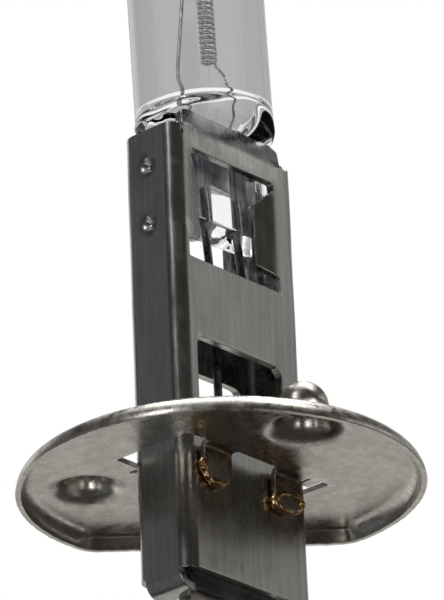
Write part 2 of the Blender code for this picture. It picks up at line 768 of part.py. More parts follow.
def make_envelope(material):
    glass = add_object(
        "quartz_envelope", loft_mesh("quartz_envelope", envelope_rings()), BURNER_FRAME, material
    )
    tools = [("gas_space", loft_mesh("gas_space", cavity_rings()))]
    half = FOIL_HALF_WIDTH + SEAT_GAP
    for foil, x in FOIL_CENTRES:
        low = (x - half, -0.08 * MM, FOIL_SPAN[0] - PINCH_CENTRE - 0.05 * MM)
        high = (x + half, 0.08 * MM, FOIL_SPAN[1] - PINCH_CENTRE + 0.05 * MM)
        tools.append((f"{foil}_pocket", box_mesh("foil_pocket", low, high)))
    for name, mesh in tools:
        combine(glass, add_object(name, mesh, BURNER_FRAME, cutter=True))
    channels = (
        ("live_channel", live_lead_points()[:3], OUTER_WIRE),
        ("ground_channel", ground_lead_points()[:3], OUTER_WIRE),
        ("return_channel", return_lead_points()[:7], RETURN_WIRE),
        ("lower_channel", lower_lead_points()[:4], LOWER_WIRE),
    )
    for name, points, radius in channels:
        path = [Vector(point) for point in points]
        path[0] += (path[0] - path[1]).normalized() * SEAT_GAP
        if name in ("live_channel", "ground_channel"):
            path = path[:2] + [path[1] + (path[1] - path[0]).normalized() * 1.2 * MM]
        wire = wire_object(name, local(path), radius + SEAT_GAP, BURNER_FRAME, cutter=True)
        combine(glass, turned_to_mesh(wire))
    shade_round(glass, 50)


def make_foils(material):
    for name, x in FOIL_CENTRES:
        low = (x - FOIL_HALF_WIDTH, -FOIL_HALF_THICKNESS, FOIL_SPAN[0] - PINCH_CENTRE)
        high = (x + FOIL_HALF_WIDTH, FOIL_HALF_THICKNESS, FOIL_SPAN[1] - PINCH_CENTRE)
        add_object(name, box_mesh(name, low, high), BURNER_FRAME, material)


def make_burner_wires(tungsten, molybdenum):
    wires = (
        ("filament_coil", coil_points(), COIL_WIRE, tungsten),
        ("return_lead", return_lead_points(), RETURN_WIRE, molybdenum),
        ("lower_inner_lead", lower_lead_points(), LOWER_WIRE, molybdenum),
        ("live_lead", live_lead_points(), OUTER_WIRE, molybdenum),
        ("ground_lead", ground_lead_points(), OUTER_WIRE, molybdenum),
    )
    for name, points, radius, material in wires:
        wire_object(name, local(points), radius, BURNER_FRAME, material)


def bead(name, centre, size, parent, material):
    """A small melted bead, an egg-shaped nugget."""
    bm = bmesh.new()
    bmesh.ops.create_uvsphere(bm, u_segments=12, v_segments=8, radius=1)
    bmesh.ops.scale(bm, vec=size, verts=bm.verts)
    made = add_object(name, mesh_from(bm, name), parent, material)
    made.location = centre
    shade_round(made, 60)


def make_joints(tungsten, steel):
    lower = (1.55 * MM, -0.4 * MM, 22.48 * MM - PINCH_CENTRE)
    upper = (0.78 * MM, COIL_Y, 29.3 * MM - PINCH_CENTRE)
    bead("filament_joint_lower", lower, (0.1 * MM, 0.1 * MM, 0.1 * MM), BURNER_FRAME, tungsten)
    bead("filament_joint_upper", upper, (0.12 * MM, 0.12 * MM, 0.13 * MM), BURNER_FRAME, tungsten)
    live = (-0.02 * MM, 0, -2.3 * MM)
    bead("live_lead_weld", live, (0.4 * MM, 0.35 * MM, 0.22 * MM), SLEEVE_FRAME, steel)
    ground = (3.82 * MM, 0, 6.75 * MM)
    bead("ground_lead_weld", ground, (0.36 * MM, 0.4 * MM, 0.3 * MM), SLEEVE_FRAME, steel)


# ---------------------------------------------------------------- foot


def make_insulator(material):
    low = (-INSULATOR_HALF_WIDTH, -INSULATOR_HALF_DEPTH, INSULATOR_SPAN[0])
    high = (INSULATOR_HALF_WIDTH, INSULATOR_HALF_DEPTH, INSULATOR_SPAN[1])
    block = box_mesh("terminal_insulator", low, high, (0, 1, 2), 0.45 * MM, 4)
    insulator = add_object("terminal_insulator", block, SLEEVE_FRAME, material)
    gap = 0.06 * MM
    low = (-BLADE_HALF_WIDTH - gap, -BLADE_HALF_THICKNESS - gap, INSULATOR_SPAN[0] - MM)
    high = (BLADE_HALF_WIDTH + gap, BLADE_HALF_THICKNESS + gap, INSULATOR_SPAN[1] + MM)
    slot = add_object("blade_slot", box_mesh("blade_slot", low, high), SLEEVE_FRAME, cutter=True)
    combine(insulator, slot)
    shade_round(insulator)


def make_blade(material):
    """The tab terminal: chamfered at its tip, with a detent hole."""
    bottom, top = BLADE_SPAN
    half, cut = BLADE_HALF_WIDTH, BLADE_CHAMFER
    outline = [
        (-half, top), (-half, bottom + cut), (-half + 0.7 * cut, bottom),
        (half - 0.7 * cut, bottom), (half, bottom + cut), (half, top),
    ]
    plate = plate_object("blade_plate", outline, 2 * BLADE_HALF_THICKNESS, None)
    blade = add_object("blade_terminal", plate.data.copy(), SLEEVE_FRAME, material)
    blade.rotation_euler = (math.pi / 2, 0, 0)
    bpy.data.objects.remove(plate, do_unlink=True)
    bm = bmesh.new()
    bmesh.ops.create_cone(
        bm, cap_ends=True, segments=24, radius1=BLADE_HOLE, radius2=BLADE_HOLE, depth=4 * MM
    )
    drill = add_object("detent_hole", mesh_from(bm, "detent_hole"), SLEEVE_FRAME, cutter=True)
    drill.rotation_euler = (math.pi / 2, 0, 0)
    drill.location = (0, 0, bottom + BLADE_HOLE_UP)
    combine(blade, drill)


def main():
    plated = make_material("plated_steel", (0.45, 0.43, 0.41), 1.0, 0.28)
    flange_steel = make_material("flange_steel", (0.52, 0.50, 0.47), 1.0, 0.3)
    quartz = make_material("quartz", (0.82, 0.83, 0.85), 0.0, 0.03)
    tungsten = make_material("tungsten", (0.42, 0.41, 0.4), 1.0, 0.35)
    molybdenum = make_material("molybdenum", (0.5, 0.5, 0.51), 1.0, 0.3)
    foil = make_material("moly_foil", (0.46, 0.47, 0.5), 1.0, 0.25)
    weld = make_material("weld_bead", (0.45, 0.28, 0.16), 1.0, 0.3)
    insulator = make_material("insulator", (0.1, 0.095, 0.09), 0.0, 0.5)
    tinned = make_material("tinned_blade", (0.62, 0.61, 0.58), 1.0, 0.35)
    make_sleeve(plated)
    flange = make_flange(flange_steel)
    shade_round(flange)
    make_flange_welds(weld)
    make_envelope(quartz)
    make_foils(foil)
    make_burner_wires(tungsten, molybdenum)
    make_joints(tungsten, weld)
    make_insulator(insulator)
    make_blade(tinned)


main()
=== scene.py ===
"""Looks of a single-filament headlight bulb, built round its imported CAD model.

The pressed and folded sheet parts are made as the real ones are: a flat outline with its
holes is drawn in the sheet's own plane, meshed, and formed by bending rules. The glass is a
loft, the wires are curves. Every finish is a procedural node material.
"""

import math

import bmesh
import bpy
import numpy as np
from mathutils import Matrix, Vector
from mathutils.geometry import delaunay_2d_cdt


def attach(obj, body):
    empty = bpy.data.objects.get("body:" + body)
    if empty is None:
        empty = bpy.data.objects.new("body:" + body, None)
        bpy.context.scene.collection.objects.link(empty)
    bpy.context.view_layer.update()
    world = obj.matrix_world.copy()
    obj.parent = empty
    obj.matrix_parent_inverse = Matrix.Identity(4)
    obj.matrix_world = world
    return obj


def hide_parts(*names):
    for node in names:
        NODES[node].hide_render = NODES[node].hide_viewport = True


MM = 0.001

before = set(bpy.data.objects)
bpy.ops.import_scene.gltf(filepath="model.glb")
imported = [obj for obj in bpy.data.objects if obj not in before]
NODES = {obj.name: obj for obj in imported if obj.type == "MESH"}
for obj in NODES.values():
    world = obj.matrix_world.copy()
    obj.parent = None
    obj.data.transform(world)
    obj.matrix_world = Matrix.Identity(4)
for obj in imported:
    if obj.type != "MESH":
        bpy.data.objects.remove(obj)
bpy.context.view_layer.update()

# ---------------------------------------------------------------- frames and measures

SLEEVE_TURN = math.radians(47)
BURNER_TILT = math.radians(-2.4)
PINCH_CENTRE = 15.65
SLEEVE = Matrix.Rotation(SLEEVE_TURN, 4, "Z")
BURNER = (
    SLEEVE
    @ Matrix.Translation((0, 0, PINCH_CENTRE * MM))
    @ Matrix.Rotation(BURNER_TILT, 4, "Y")
)


def local_box(node, matrix):
    """Lowest and highest corner of a CAD node in a turned frame, in millimetres."""
    turned = matrix.inverted()
    points = np.array([turned @ vert.co for vert in NODES[node].data.vertices]) / MM
    return points.min(0), points.max(0)


_, SLEEVE_HIGH = local_box("clamp_sleeve", SLEEVE)
GLASS_LOW, GLASS_HIGH = local_box("quartz_envelope", BURNER)
BLADE_LOW, BLADE_HIGH = local_box("blade_terminal", SLEEVE)
_, FLANGE_HIGH = local_box("flange", Matrix.Identity(4))

# Lengths from here on are in millimetres unless MM stands beside them
SHEET = 0.45
EDGE = 0.045

# Sleeve, in its own frame: X along the wide faces, front face at -Y
SLEEVE_X = float(SLEEVE_HIGH[0])
SLEEVE_Y = float(SLEEVE_HIGH[1])
SLEEVE_BEND = 0.85
FLAT_X = SLEEVE_X - SLEEVE_BEND
FLAT_Y = 2 * (SLEEVE_Y - SLEEVE_BEND)
ARC = SLEEVE_BEND * math.pi / 2
HALF_GIRTH = 2 * FLAT_X + 2 * ARC + FLAT_Y
SIDE_MIDDLE = FLAT_X + ARC + FLAT_Y / 2
SEAM = 0.06
SLEEVE_FOOT = -6.8
FOOT_BEND = 0.95
FOOT_HALF = 1.2
SHOULDER = 17.9
TAB_TOP = float(SLEEVE_HIGH[2])
TAB_LEANS = ((16.6, 0.07), (17.55, 0.11))
FLAP_SLANT = math.radians(21)
FLAP_BEND = 0.9
FLAP_LEFT = -3.8
FLAP_RIGHT = 3.1
FLAP_FOOT = 11.3
FLAP_TOP = 16.5
DIMPLES = (12.55, 15.85)

# Flange: its blank is drawn in the sleeve's frame too
RIM_RADIUS = float(FLANGE_HIGH[0])
RIM_FLAT = float(FLANGE_HIGH[1])
DISC_SHEET = 0.3
DISC_TOP = 0.1
RIM_BEND = 1.1
RIM_EXTRA = RIM_BEND * (math.pi / 2 - 1)
FLAT_BEND = 0.45
FLAT_WALL = 0.65
RIM_POWER = 44
BOSS_CIRCLE = 7.0
BOSS_ANGLES = (-54, 167)
BOSS_TOP = float(FLANGE_HIGH[2])
BOSS_DOME = 1.3
BOSS_FILLET = 1.19
BOSS_SIDE = math.radians(5)
OPENING_LEFT = -5.45
OPENING_RIGHT = 4.98
OPENING_FRONT = -2.72
OPENING_BACK = 2.15
TONGUES = (-2.75, 2.55)
TONGUE_HALF = 1.03
TONGUE_BEND = 0.45
TONGUE_FACE = 2.03
TONGUE_END = -2.05
TONGUE_START = TONGUE_FACE + TONGUE_BEND
TONGUE_TIP = TONGUE_START - TONGUE_BEND * math.pi / 2 - (DISC_TOP - TONGUE_BEND - TONGUE_END)


def ride(piece, slot, *replaced):
    """Fix a finished piece to the bulb's one body and hide the CAD nodes it stands for."""
    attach(piece, "root")
    if replaced:
        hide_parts(*replaced)
    return piece


def link(name, data, matrix, material):
    piece = bpy.data.objects.new(name, data)
    bpy.context.scene.collection.objects.link(piece)
    piece.matrix_world = matrix
    data.materials.append(material)
    return piece


# ---------------------------------------------------------------- outlines and sheets


def rounded(corners, steps=5):
    """A loop of (x, y, radius) corners with each corner turned into an arc."""
    points = []
    count = len(corners)
    for i, (x, y, radius) in enumerate(corners):
        here = Vector((x, y))
        before = Vector(corners[i - 1][:2]) - here
        after = Vector(corners[(i + 1) % count][:2]) - here
        if radius <= 0 or before.length < 1e-6 or after.length < 1e-6:
            points.append(here)
            continue
        half = before.angle(after) / 2
        reach = min(radius / math.tan(half), 0.45 * before.length, 0.45 * after.length)
        start = here + before.normalized() * reach
        end = here + after.normalized() * reach
        for step in range(steps + 1):
            t = step / steps
            points.append(start * (1 - t) ** 2 + here * 2 * t * (1 - t) + end * t**2)
    return points


def dense(loop, gap):
    """The loop with no two neighbours further apart than gap."""
    points = []
    for a, b in zip(loop, loop[1:] + loop[:1]):
        pieces = max(1, math.ceil((b - a).length / gap))
        points += [a + (b - a) * (i / pieces) for i in range(pieces)]
    return points


def inside(points, loop):
    """Which of the points lie inside the loop, by the even-odd rule."""
    x, y = points[:, 0], points[:, 1]
    result = np.zeros(len(points), bool)
    for a, b in zip(loop, loop[1:] + loop[:1]):
        crosses = (a[1] > y) != (b[1] > y)
        if crosses.any():
            edge_x = a[0] + (y - a[1]) * (b[0] - a[0]) / ((b[1] - a[1]) or 1e-12)
            result ^= crosses & (x < edge_x)
    return result


def clear_of(points, loops, gap):
    """Which of the points keep that distance from every loop's corners."""
    corners = np.array([p for loop in loops for p in loop])
    result = np.ones(len(points), bool)
    for start in range(0, len(points), 2000):
        part = points[start:start + 2000]
        distance = ((part[:, None, :] - corners[None, :, :]) ** 2).sum(2).min(1)
        result[start:start + 2000] = distance > gap * gap
    return result


def inset(loop, amount):
    """The loop drawn in by that much; the sheet lies on the left of its direction."""
    here = np.array([tuple(p) for p in loop])
    while True:
        drawn = here - outward(here) * amount
        run = np.roll(here, -1, 0) - here
        shrunk = np.roll(drawn, -1, 0) - drawn
        turned_back = (run * shrunk).sum(1) < 0.1 * (run * run).sum(1)
        if not turned_back.any():
            return [Vector(p) for p in drawn]
        worst = np.flatnonzero(turned_back & ~np.roll(turned_back, 1))
        here = np.delete(here, worst, 0)


def outward(here):
    """Mitred unit vectors from each point of a closed loop away from the sheet."""
    before = here - np.roll(here, 1, 0)
    after = np.roll(here, -1, 0) - here
    sides = []
    for run in (before, after):
        length = np.maximum(np.hypot(run[:, 0], run[:, 1]), 1e-9)
        sides.append(np.stack([run[:, 1], -run[:, 0]], 1) / length[:, None])
    middle = sides[0] + sides[1]
    middle /= np.maximum(np.hypot(middle[:, 0], middle[:, 1]), 1e-9)[:, None]
    stretch = np.clip((middle * sides[0]).sum(1), 0.5, 1)
    return middle / stretch[:, None]


def full_turn(count):
    """That many angles, evenly round a circle."""
    return np.linspace(0, 2 * math.pi, count, endpoint=False)


def polar(radius, angles):
    """Points of a plane at those distances and angles from its origin."""
    return np.stack([radius * np.cos(angles), radius * np.sin(angles)], 1)


def turned(points, angle):
    """Points of a plane turned about its origin."""
    c, s = math.cos(angle), math.sin(angle)
    return np.stack([points[:, 0] * c - points[:, 1] * s, points[:, 0] * s + points[:, 1] * c], 1)


def turning(loop):
    """Twice the signed area of a loop."""
    return sum(a[0] * b[1] - a[1] * b[0] for a, b in zip(loop, loop[1:] + loop[:1]))


def flat_mesh(outer, holes, grid, gap, edge):
    """Points and triangles of a flat sheet: an outline, its holes and inner points."""
    loops = []
    for i, loop in enumerate((outer, *holes)):
        loop = dense(loop, gap)
        if (turning(loop) > 0) != (i == 0):
            loop = loop[::-1]
        loops.append(inset(loop, edge))
    grid = grid[inside(grid, loops[0])]
    for hole in loops[1:]:
        grid = grid[~inside(grid, hole)]
    grid = grid[clear_of(grid, loops, gap * 0.5)]
    verts, edges = [], []
    for loop in loops:
        first = len(verts)
        verts += [tuple(p) for p in loop]
        edges += [(first + i, first + (i + 1) % len(loop)) for i in range(len(loop))]
    verts += [tuple(p) for p in grid]
    made = delaunay_2d_cdt([Vector(v) for v in verts], edges, [], 0, 1e-7)
    points = np.array([tuple(v) for v in made[0]])
    faces = np.array([tuple(f) for f in made[2]])
    middle = points[faces].mean(1)
    keep = inside(middle, loops[0])
    for hole in loops[1:]:
        keep &= ~inside(middle, hole)
    faces = faces[keep]
    used = np.unique(faces)
    order = np.full(len(points), -1)
    order[used] = np.arange(len(used))
    return points[used], order[faces]


def border_loops(faces):
    """Closed loops of vertex numbers round the edges that only one triangle uses."""
    runs = np.concatenate([faces[:, [0, 1]], faces[:, [1, 2]], faces[:, [2, 0]]])
    known = set(map(tuple, runs.tolist()))
    follow = {a: b for a, b in known if (b, a) not in known}
    loops = []
    while follow:
        first, here = follow.popitem()
        loop = [first]
        while here != first:
            loop.append(here)
            here = follow.pop(here)
        loops.append(loop)
    return loops


def unit(vectors):
    return vectors / np.maximum(np.linalg.norm(vectors, axis=1), 1e-12)[:, None]


STEP = 1e-4


def formed_sheet(name, flat, form, thickness, edge, steps=3):
    """A closed sheet-metal mesh: the flat sheet bent by form, with thickness and eased edges.

    Form maps points of the flat sheet to its outer face; the sheet lies behind that face.
    """
    points, faces = flat
    place = form(points)
    along = form(points + (STEP, 0)) - form(points - (STEP, 0))
    up = form(points + (0, STEP)) - form(points - (0, STEP))
    normal = unit(np.cross(along, up))
    count = len(points)
    rows = [place, place - normal * thickness]
    normals = [normal, -normal]
    polygons = faces.tolist() + (faces[:, ::-1] + count).tolist()
    total = 2 * count
    angles = np.linspace(0, math.pi / 2, steps + 1)[1:]
    profile = [(edge * math.sin(a), edge * (1 - math.cos(a)), a) for a in angles]
    profile += [(out, thickness - deep, math.pi - a) for out, deep, a in profile[::-1]]
    for loop in border_loops(faces):
        index = np.array(loop)
        away = outward(points[index])
        aside = (form(points[index] + away * STEP) - place[index]) / STEP
        aside_unit = unit(aside)
        ring_before = index
        for out, deep, angle in profile:
            rows.append(place[index] + aside * out - normal[index] * deep)
            normals.append(unit(normal[index] * math.cos(angle) + aside_unit * math.sin(angle)))
            ring_here = total + np.arange(len(loop))
            polygons += strip(ring_before, ring_here)
            ring_before = ring_here
            total += len(loop)
        polygons += strip(ring_before, index + count)
    mesh = bpy.data.meshes.new(name)
    mesh.from_pydata((np.concatenate(rows) * MM).tolist(), [], polygons)
    mesh.shade_smooth()
    mesh.normals_split_custom_set_from_vertices(np.concatenate(normals).tolist())
    return mesh


def strip(before, here):
    """Faces between two closed rows of vertices, the second further out or further down."""
    b, h = before.tolist(), here.tolist()
    count = len(b)
    return [(b[(i + 1) % count], b[i], h[i], h[(i + 1) % count]) for i in range(count)]


def settled(made):
    """The object's mesh with its modifiers applied, shaded smooth; the object is removed."""
    bpy.context.view_layer.update()
    depsgraph = bpy.context.evaluated_depsgraph_get()
    mesh = bpy.data.meshes.new_from_object(made.evaluated_get(depsgraph))
    mesh.name = made.name
    bpy.data.objects.remove(made, do_unlink=True)
    mesh.materials.clear()
    mesh.shade_smooth()
    return mesh


def joined(mesh):
    """The mesh with its doubled points merged, shaded smooth."""
    bm = bmesh.new()
    bm.from_mesh(mesh)
    bmesh.ops.remove_doubles(bm, verts=bm.verts, dist=1e-8)
    bm.to_mesh(mesh)
    bm.free()
    mesh.shade_smooth()
    return mesh


def tube_mesh(name, points, radius, resolution, closed=False, swell=lambda i: 1.0):
    """A round tube through points; swell scales its radius at each of them."""
    curve = bpy.data.curves.new(name, "CURVE")
    curve.dimensions = "3D"
    curve.bevel_depth = radius * MM
    curve.bevel_resolution = resolution
    curve.use_fill_caps = not closed
    spline = curve.splines.new("POLY")
    spline.points.add(len(points) - 1)
    spline.use_cyclic_u = closed
    for i, (point, (x, y, z)) in enumerate(zip(spline.points, points)):
        point.co = (x * MM, y * MM, z * MM, 1)
        point.radius = swell(i)
    made = bpy.data.objects.new(name, curve)
    bpy.context.scene.collection.objects.link(made)
    return joined(settled(made))


def mesh_of(bm, name):
    """The finished mesh of a bmesh, which is freed."""
    mesh = bpy.data.meshes.new(name)
    bm.to_mesh(mesh)
    bm.free()
    return mesh


def plane_mesh(name, segments, size):
    """A flat square of that half side in metres."""
    bm = bmesh.new()
    bmesh.ops.create_grid(bm, x_segments=segments, y_segments=segments, size=size)
    return mesh_of(bm, name)


def lines(low, high, gap, *fine):
    """Grid lines from low to high: coarse, with finer stretches (from, to, gap)."""
    marks = list(np.linspace(low, high, max(2, round((high - low) / gap) + 1)))
    for start, end, step in fine:
        marks = [m for m in marks if not start - step / 2 < m < end + step / 2]
        marks += list(np.linspace(start, end, max(2, round((end - start) / step) + 1)))
    return np.array(sorted(marks))


def grid_of(xs, ys):
    gx, gy = np.meshgrid(xs, ys)
    return np.stack([gx.ravel(), gy.ravel()], 1)


def smooth(low, high, value):
    t = np.clip((value - low) / (high - low), 0, 1)
    return t * t * (3 - 2 * t)


# ---------------------------------------------------------------- clamp sleeve

UPPER_LEFT = [
    (FLAP_LEFT, 10.4, 0.1), (FLAP_LEFT, FLAP_FOOT, 0.08), (-2.4, 11.75, 0.3),
    (-2.4, 15.3, 0.35), (-3.42, 16.2, 0.1), (-3.35, 16.62, 0.12),
]
UPPER_RIGHT = [
    (FLAP_RIGHT, 10.4, 0.1), (FLAP_RIGHT, FLAP_FOOT, 0.08), (1.72, 11.75, 0.3),
    (1.72, 15.2, 0.35), (2.9, 16.2, 0.1), (2.86, 16.62, 0.12),
]
LOWER_LEFT = [(-3.5, 0.7, 0.6), (-3.5, 6.05, 0.65)]
LOWER_RIGHT = [(2.9, 0.7, 0.6), (2.9, 6.05, 0.65)]
TAB_LEFT = [
    (-3.92, TAB_TOP, 0.95), (-3.92, 17.35, 0.08), (-4.1, 17.3, 0.08), (-4.12, SHOULDER, 0.06),
]
TAB_RIGHT = [
    (4.25, SHOULDER, 0.15), (3.92, 17.66, 0.15), (3.62, 17.95, 0.2), (3.62, 18.75, 0.2),
    (3.0, TAB_TOP, 0.3),
]


def shifted(corners, along):
    """The corners moved along the strip."""
    return [(x + along, y, radius) for x, y, radius in corners]


def sleeve_outline():
    """The flat strip: along its foot, up the seam, along the top and down the seam again."""
    end = HALF_GIRTH - SEAM
    foot = SLEEVE_FOOT - FOOT_BEND * math.pi / 2 - 0.4
    corners = [(-end, SLEEVE_FOOT, 0)]
    for middle in (-SIDE_MIDDLE, SIDE_MIDDLE):
        corners += [
            (middle - FOOT_HALF, SLEEVE_FOOT, 0.1), (middle - FOOT_HALF, foot, 0.3),
            (middle + FOOT_HALF, foot, 0.3), (middle + FOOT_HALF, SLEEVE_FOOT, 0.1),
        ]
    corners += [(end, SLEEVE_FOOT, 0), (end, 0.7, 0)]
    corners += shifted(LOWER_LEFT, HALF_GIRTH)
    corners += [(end, 6.05, 0), (end, 10.4, 0)]
    corners += shifted(UPPER_LEFT, HALF_GIRTH)
    corners += [(end, 16.62, 0), (end, TAB_TOP, 0.1)]
    corners += shifted(TAB_LEFT, HALF_GIRTH) + TAB_RIGHT + TAB_LEFT
    corners += shifted(TAB_RIGHT, -HALF_GIRTH)
    corners += [(-end, TAB_TOP, 0.1), (-end, 16.62, 0)]
    corners += shifted(UPPER_RIGHT[::-1], -HALF_GIRTH)
    corners += [(-end, 10.4, 0), (-end, 6.05, 0)]
    corners += shifted(LOWER_RIGHT[::-1], -HALF_GIRTH)
    corners += [(-end, 0.7, 0)]
    return rounded(corners)


def girth(s):
    """Place and outward direction on the folded strip's outline, s from the front's middle."""
    a = np.abs(s)
    side = np.where(s < 0, -1.0, 1.0)
    fold = np.clip(a - FLAT_X, 0, ARC) / SLEEVE_BEND
    across = np.clip(a - FLAT_X - ARC, 0, FLAT_Y)
    second = np.clip(a - FLAT_X - ARC - FLAT_Y, 0, ARC) / SLEEVE_BEND
    back = np.clip(a - FLAT_X - 2 * ARC - FLAT_Y, 0, None)
    x = np.clip(a, 0, FLAT_X) + SLEEVE_BEND * (np.sin(fold) - (1 - np.cos(second))) - back
    y = -SLEEVE_Y + SLEEVE_BEND * (1 - np.cos(fold) + np.sin(second)) + across
    turn = fold + second
    return x * side, y, np.sin(turn) * side, -np.cos(turn)


def flap_fold(q, t):
    """Slide along and sink below the face for the windows' two slanted spring flaps."""
    slide = np.zeros_like(q)
    sink = np.zeros_like(q)
    tall = smooth(FLAP_TOP, FLAP_TOP - 0.9, t) * (t > FLAP_FOOT - 0.02)
    slant = FLAP_SLANT * tall
    for hinge, way in ((FLAP_LEFT, 1), (FLAP_RIGHT, -1)):
        past = np.clip((q - hinge) * way, 0, None) * (np.abs(q - hinge) < 1.6)
        turn = np.minimum(past / FLAP_BEND, slant)
        rest = past - turn * FLAP_BEND
        run = FLAP_BEND * np.sin(turn) + rest * np.cos(turn)
        slide += (run - past) * way
        sink += FLAP_BEND * (1 - np.cos(turn)) + rest * np.sin(turn)
    return slide, sink


def form_sleeve(points):
    """The strip's outer face when folded: tabs leaning in, flaps, dimples, foot turned under."""
    s, t = points[:, 0], points[:, 1]
    on_back = np.abs(s) > SIDE_MIDDLE
    q = np.where(on_back, s - np.sign(s) * HALF_GIRTH, s)
    wide = np.abs(q) < FLAT_X + 0.1
    slide, sink = flap_fold(q, t)
    s = s + np.where(wide, slide, 0)
    sink = np.where(wide, sink, 0)
    for start, slope in TAB_LEANS:
        past = np.clip(t - start, 0, None)
        soft = np.minimum(past, 0.4)
        free = np.where(t > SHOULDER, 1.0, smooth(FLAT_X + 0.1, 2.9, np.abs(q)))
        sink += slope * (past - soft + soft**2 / 0.8) * free * wide
    from_side = np.abs(s) - SIDE_MIDDLE
    for height in DIMPLES:
        away = (from_side**2 + (t - height) ** 2) / 0.36**2
        sink += 0.3 * np.exp(-away)
    below = np.clip(SLEEVE_FOOT - t, 0, None)
    turn = np.minimum(below / FOOT_BEND, math.pi / 2)
    folded = FOOT_BEND * (1 - np.cos(turn)) + (below - turn * FOOT_BEND)
    z = np.where(below > 0, SLEEVE_FOOT - FOOT_BEND * np.sin(turn), t)
    sink += 0.012 * np.sin(0.9 * s + 0.35 * t) * np.sin(0.55 * t + 1.3) + 0.006 * np.sin(2.1 * s - 1.1 * t)
    x, y, nx, ny = girth(s)
    return np.stack([x - nx * sink - np.sign(s) * folded, y - ny * sink, z], 1)


def make_sleeve(material):
    upper = rounded(UPPER_RIGHT + UPPER_LEFT[::-1])
    lower = rounded(LOWER_RIGHT + LOWER_LEFT[::-1])
    bends = []
    for start in (FLAT_X, FLAT_X + ARC + FLAT_Y):
        for low in (start, -start - ARC):
            bends.append((low, low + ARC, 0.12))
    bends += [(m - 0.75, m + 0.75, 0.12) for m in (-SIDE_MIDDLE, SIDE_MIDDLE)]
    along = lines(-HALF_GIRTH, HALF_GIRTH, 0.32, *bends)
    up = lines(
        -9.0, 19.2, 0.4, (-8.8, -6.6, 0.12), (12.0, 13.1, 0.11), (15.3, 16.4, 0.11), (17.3, 19.1, 0.2)
    )
    flat = flat_mesh(sleeve_outline(), [upper, lower], grid_of(along, up), 0.22, EDGE)
    mesh = formed_sheet("sleeve_shell", flat, form_sleeve, SHEET, EDGE)
    piece = link("sleeve_shell", mesh, SLEEVE, material)
    return ride(piece, "plated_steel", "clamp_sleeve")


# ---------------------------------------------------------------- flange


def rim_reach(angle, inset):
    """Distance of the rim's outline from the axis: a circle cut by the flat, eased corners."""
    reach = (RIM_RADIUS - inset) ** -RIM_POWER + np.zeros_like(angle)
    rise = np.sin(angle)
    facing = rise > 0.05
    flat = np.where(facing, (RIM_FLAT - inset) / np.where(facing, rise, 1), 1e3)
    reach = reach + np.clip(flat, 0, 1e3) ** -RIM_POWER
    return reach ** (-1 / RIM_POWER)


def rim_inset(points):
    """How far each point of the flat blank lies inside the finished outline."""
    angle = np.arctan2(points[:, 1], points[:, 0])
    radius = np.hypot(points[:, 0], points[:, 1])
    inset = rim_reach(angle, 0.0) - radius
    for _ in range(4):
        inset = np.clip(inset, -0.6, 6)
        error = rim_reach(angle, inset) - radius
        slope = (rim_reach(angle, inset + 0.01) - rim_reach(angle, inset)) / 0.01
        inset = inset - error / slope
    return angle, inset


def boss_profile():
    """Half section of a boss from its top outwards: dome, steep side, flaring foot."""
    side, dome, fillet = BOSS_SIDE, BOSS_DOME, BOSS_FILLET
    centre = BOSS_TOP - DISC_TOP - dome
    joint = Vector((dome * math.cos(side), centre + dome * math.sin(side)))
    foot = joint + fillet * Vector((math.cos(side), math.sin(side)))
    points = []
    for step in range(25):
        angle = math.pi / 2 + (side - math.pi / 2) * step / 24
        points.append((dome * math.cos(angle), centre + dome * math.sin(angle)))
    for step in range(1, 17):
        angle = math.pi + side + (math.pi / 2 - side) * step / 16
        points.append((foot.x + fillet * math.cos(angle), foot.y + fillet * math.sin(angle)))
    profile = np.array(points)
    profile[:, 1] -= profile[-1, 1]
    profile[0, 0] = 0
    return profile


BOSS = boss_profile()
BOSS_FOOT = BOSS[-1, 0]
BOSS_ALONG = np.concatenate([[0], np.cumsum(np.hypot(*np.diff(BOSS, axis=0).T))])


def boss_places():
    """Boss centres in the sleeve's frame, where the blank is drawn."""
    places = []
    for degrees in BOSS_ANGLES:
        angle = math.radians(degrees) - SLEEVE_TURN
        places.append((BOSS_CIRCLE * math.cos(angle), BOSS_CIRCLE * math.sin(angle)))
    return places


def opening_outline():
    """The roomy opening round the sleeve, with the four unfolded tongues reaching into it."""
    level = OPENING_FRONT
    front = [(OPENING_LEFT, level, 0.25)]
    for x in TONGUES:
        left, right = x - TONGUE_HALF, x + TONGUE_HALF
        front += [(left, level, 0.12), (left, -TONGUE_TIP, 0.98)]
        front += [(right, -TONGUE_TIP, 0.98), (right, level, 0.12)]
    right = TONGUES[1] + TONGUE_HALF
    front[-1] = (right, level - 0.1, 0.04)
    front += [(right + 0.12, level - 0.1, 0.04), (right + 0.12, -SLEEVE_Y - 0.07, 0.05)]
    front += [(4.45, -SLEEVE_Y - 0.07, 0.05), (4.45, level - 0.22, 0.1)]
    front += [(OPENING_RIGHT, level - 0.22, 0.1)]
    back = [(OPENING_RIGHT, OPENING_BACK, 0.2)]
    level = OPENING_BACK
    for x in TONGUES:
        left, right = -x - TONGUE_HALF, -x + TONGUE_HALF
        back += [(right + 0.25, level, 0.05), (right + 0.25, 2.8, 0.1), (right, 2.8, 0.1)]
        back += [(right, TONGUE_TIP, 0.98), (left, TONGUE_TIP, 0.98), (left, 2.8, 0.1)]
        back += [(left - 0.25, 2.8, 0.1), (left - 0.25, level, 0.05)]
    back += [(OPENING_LEFT, level, 0.1)]
    return rounded(front + back)


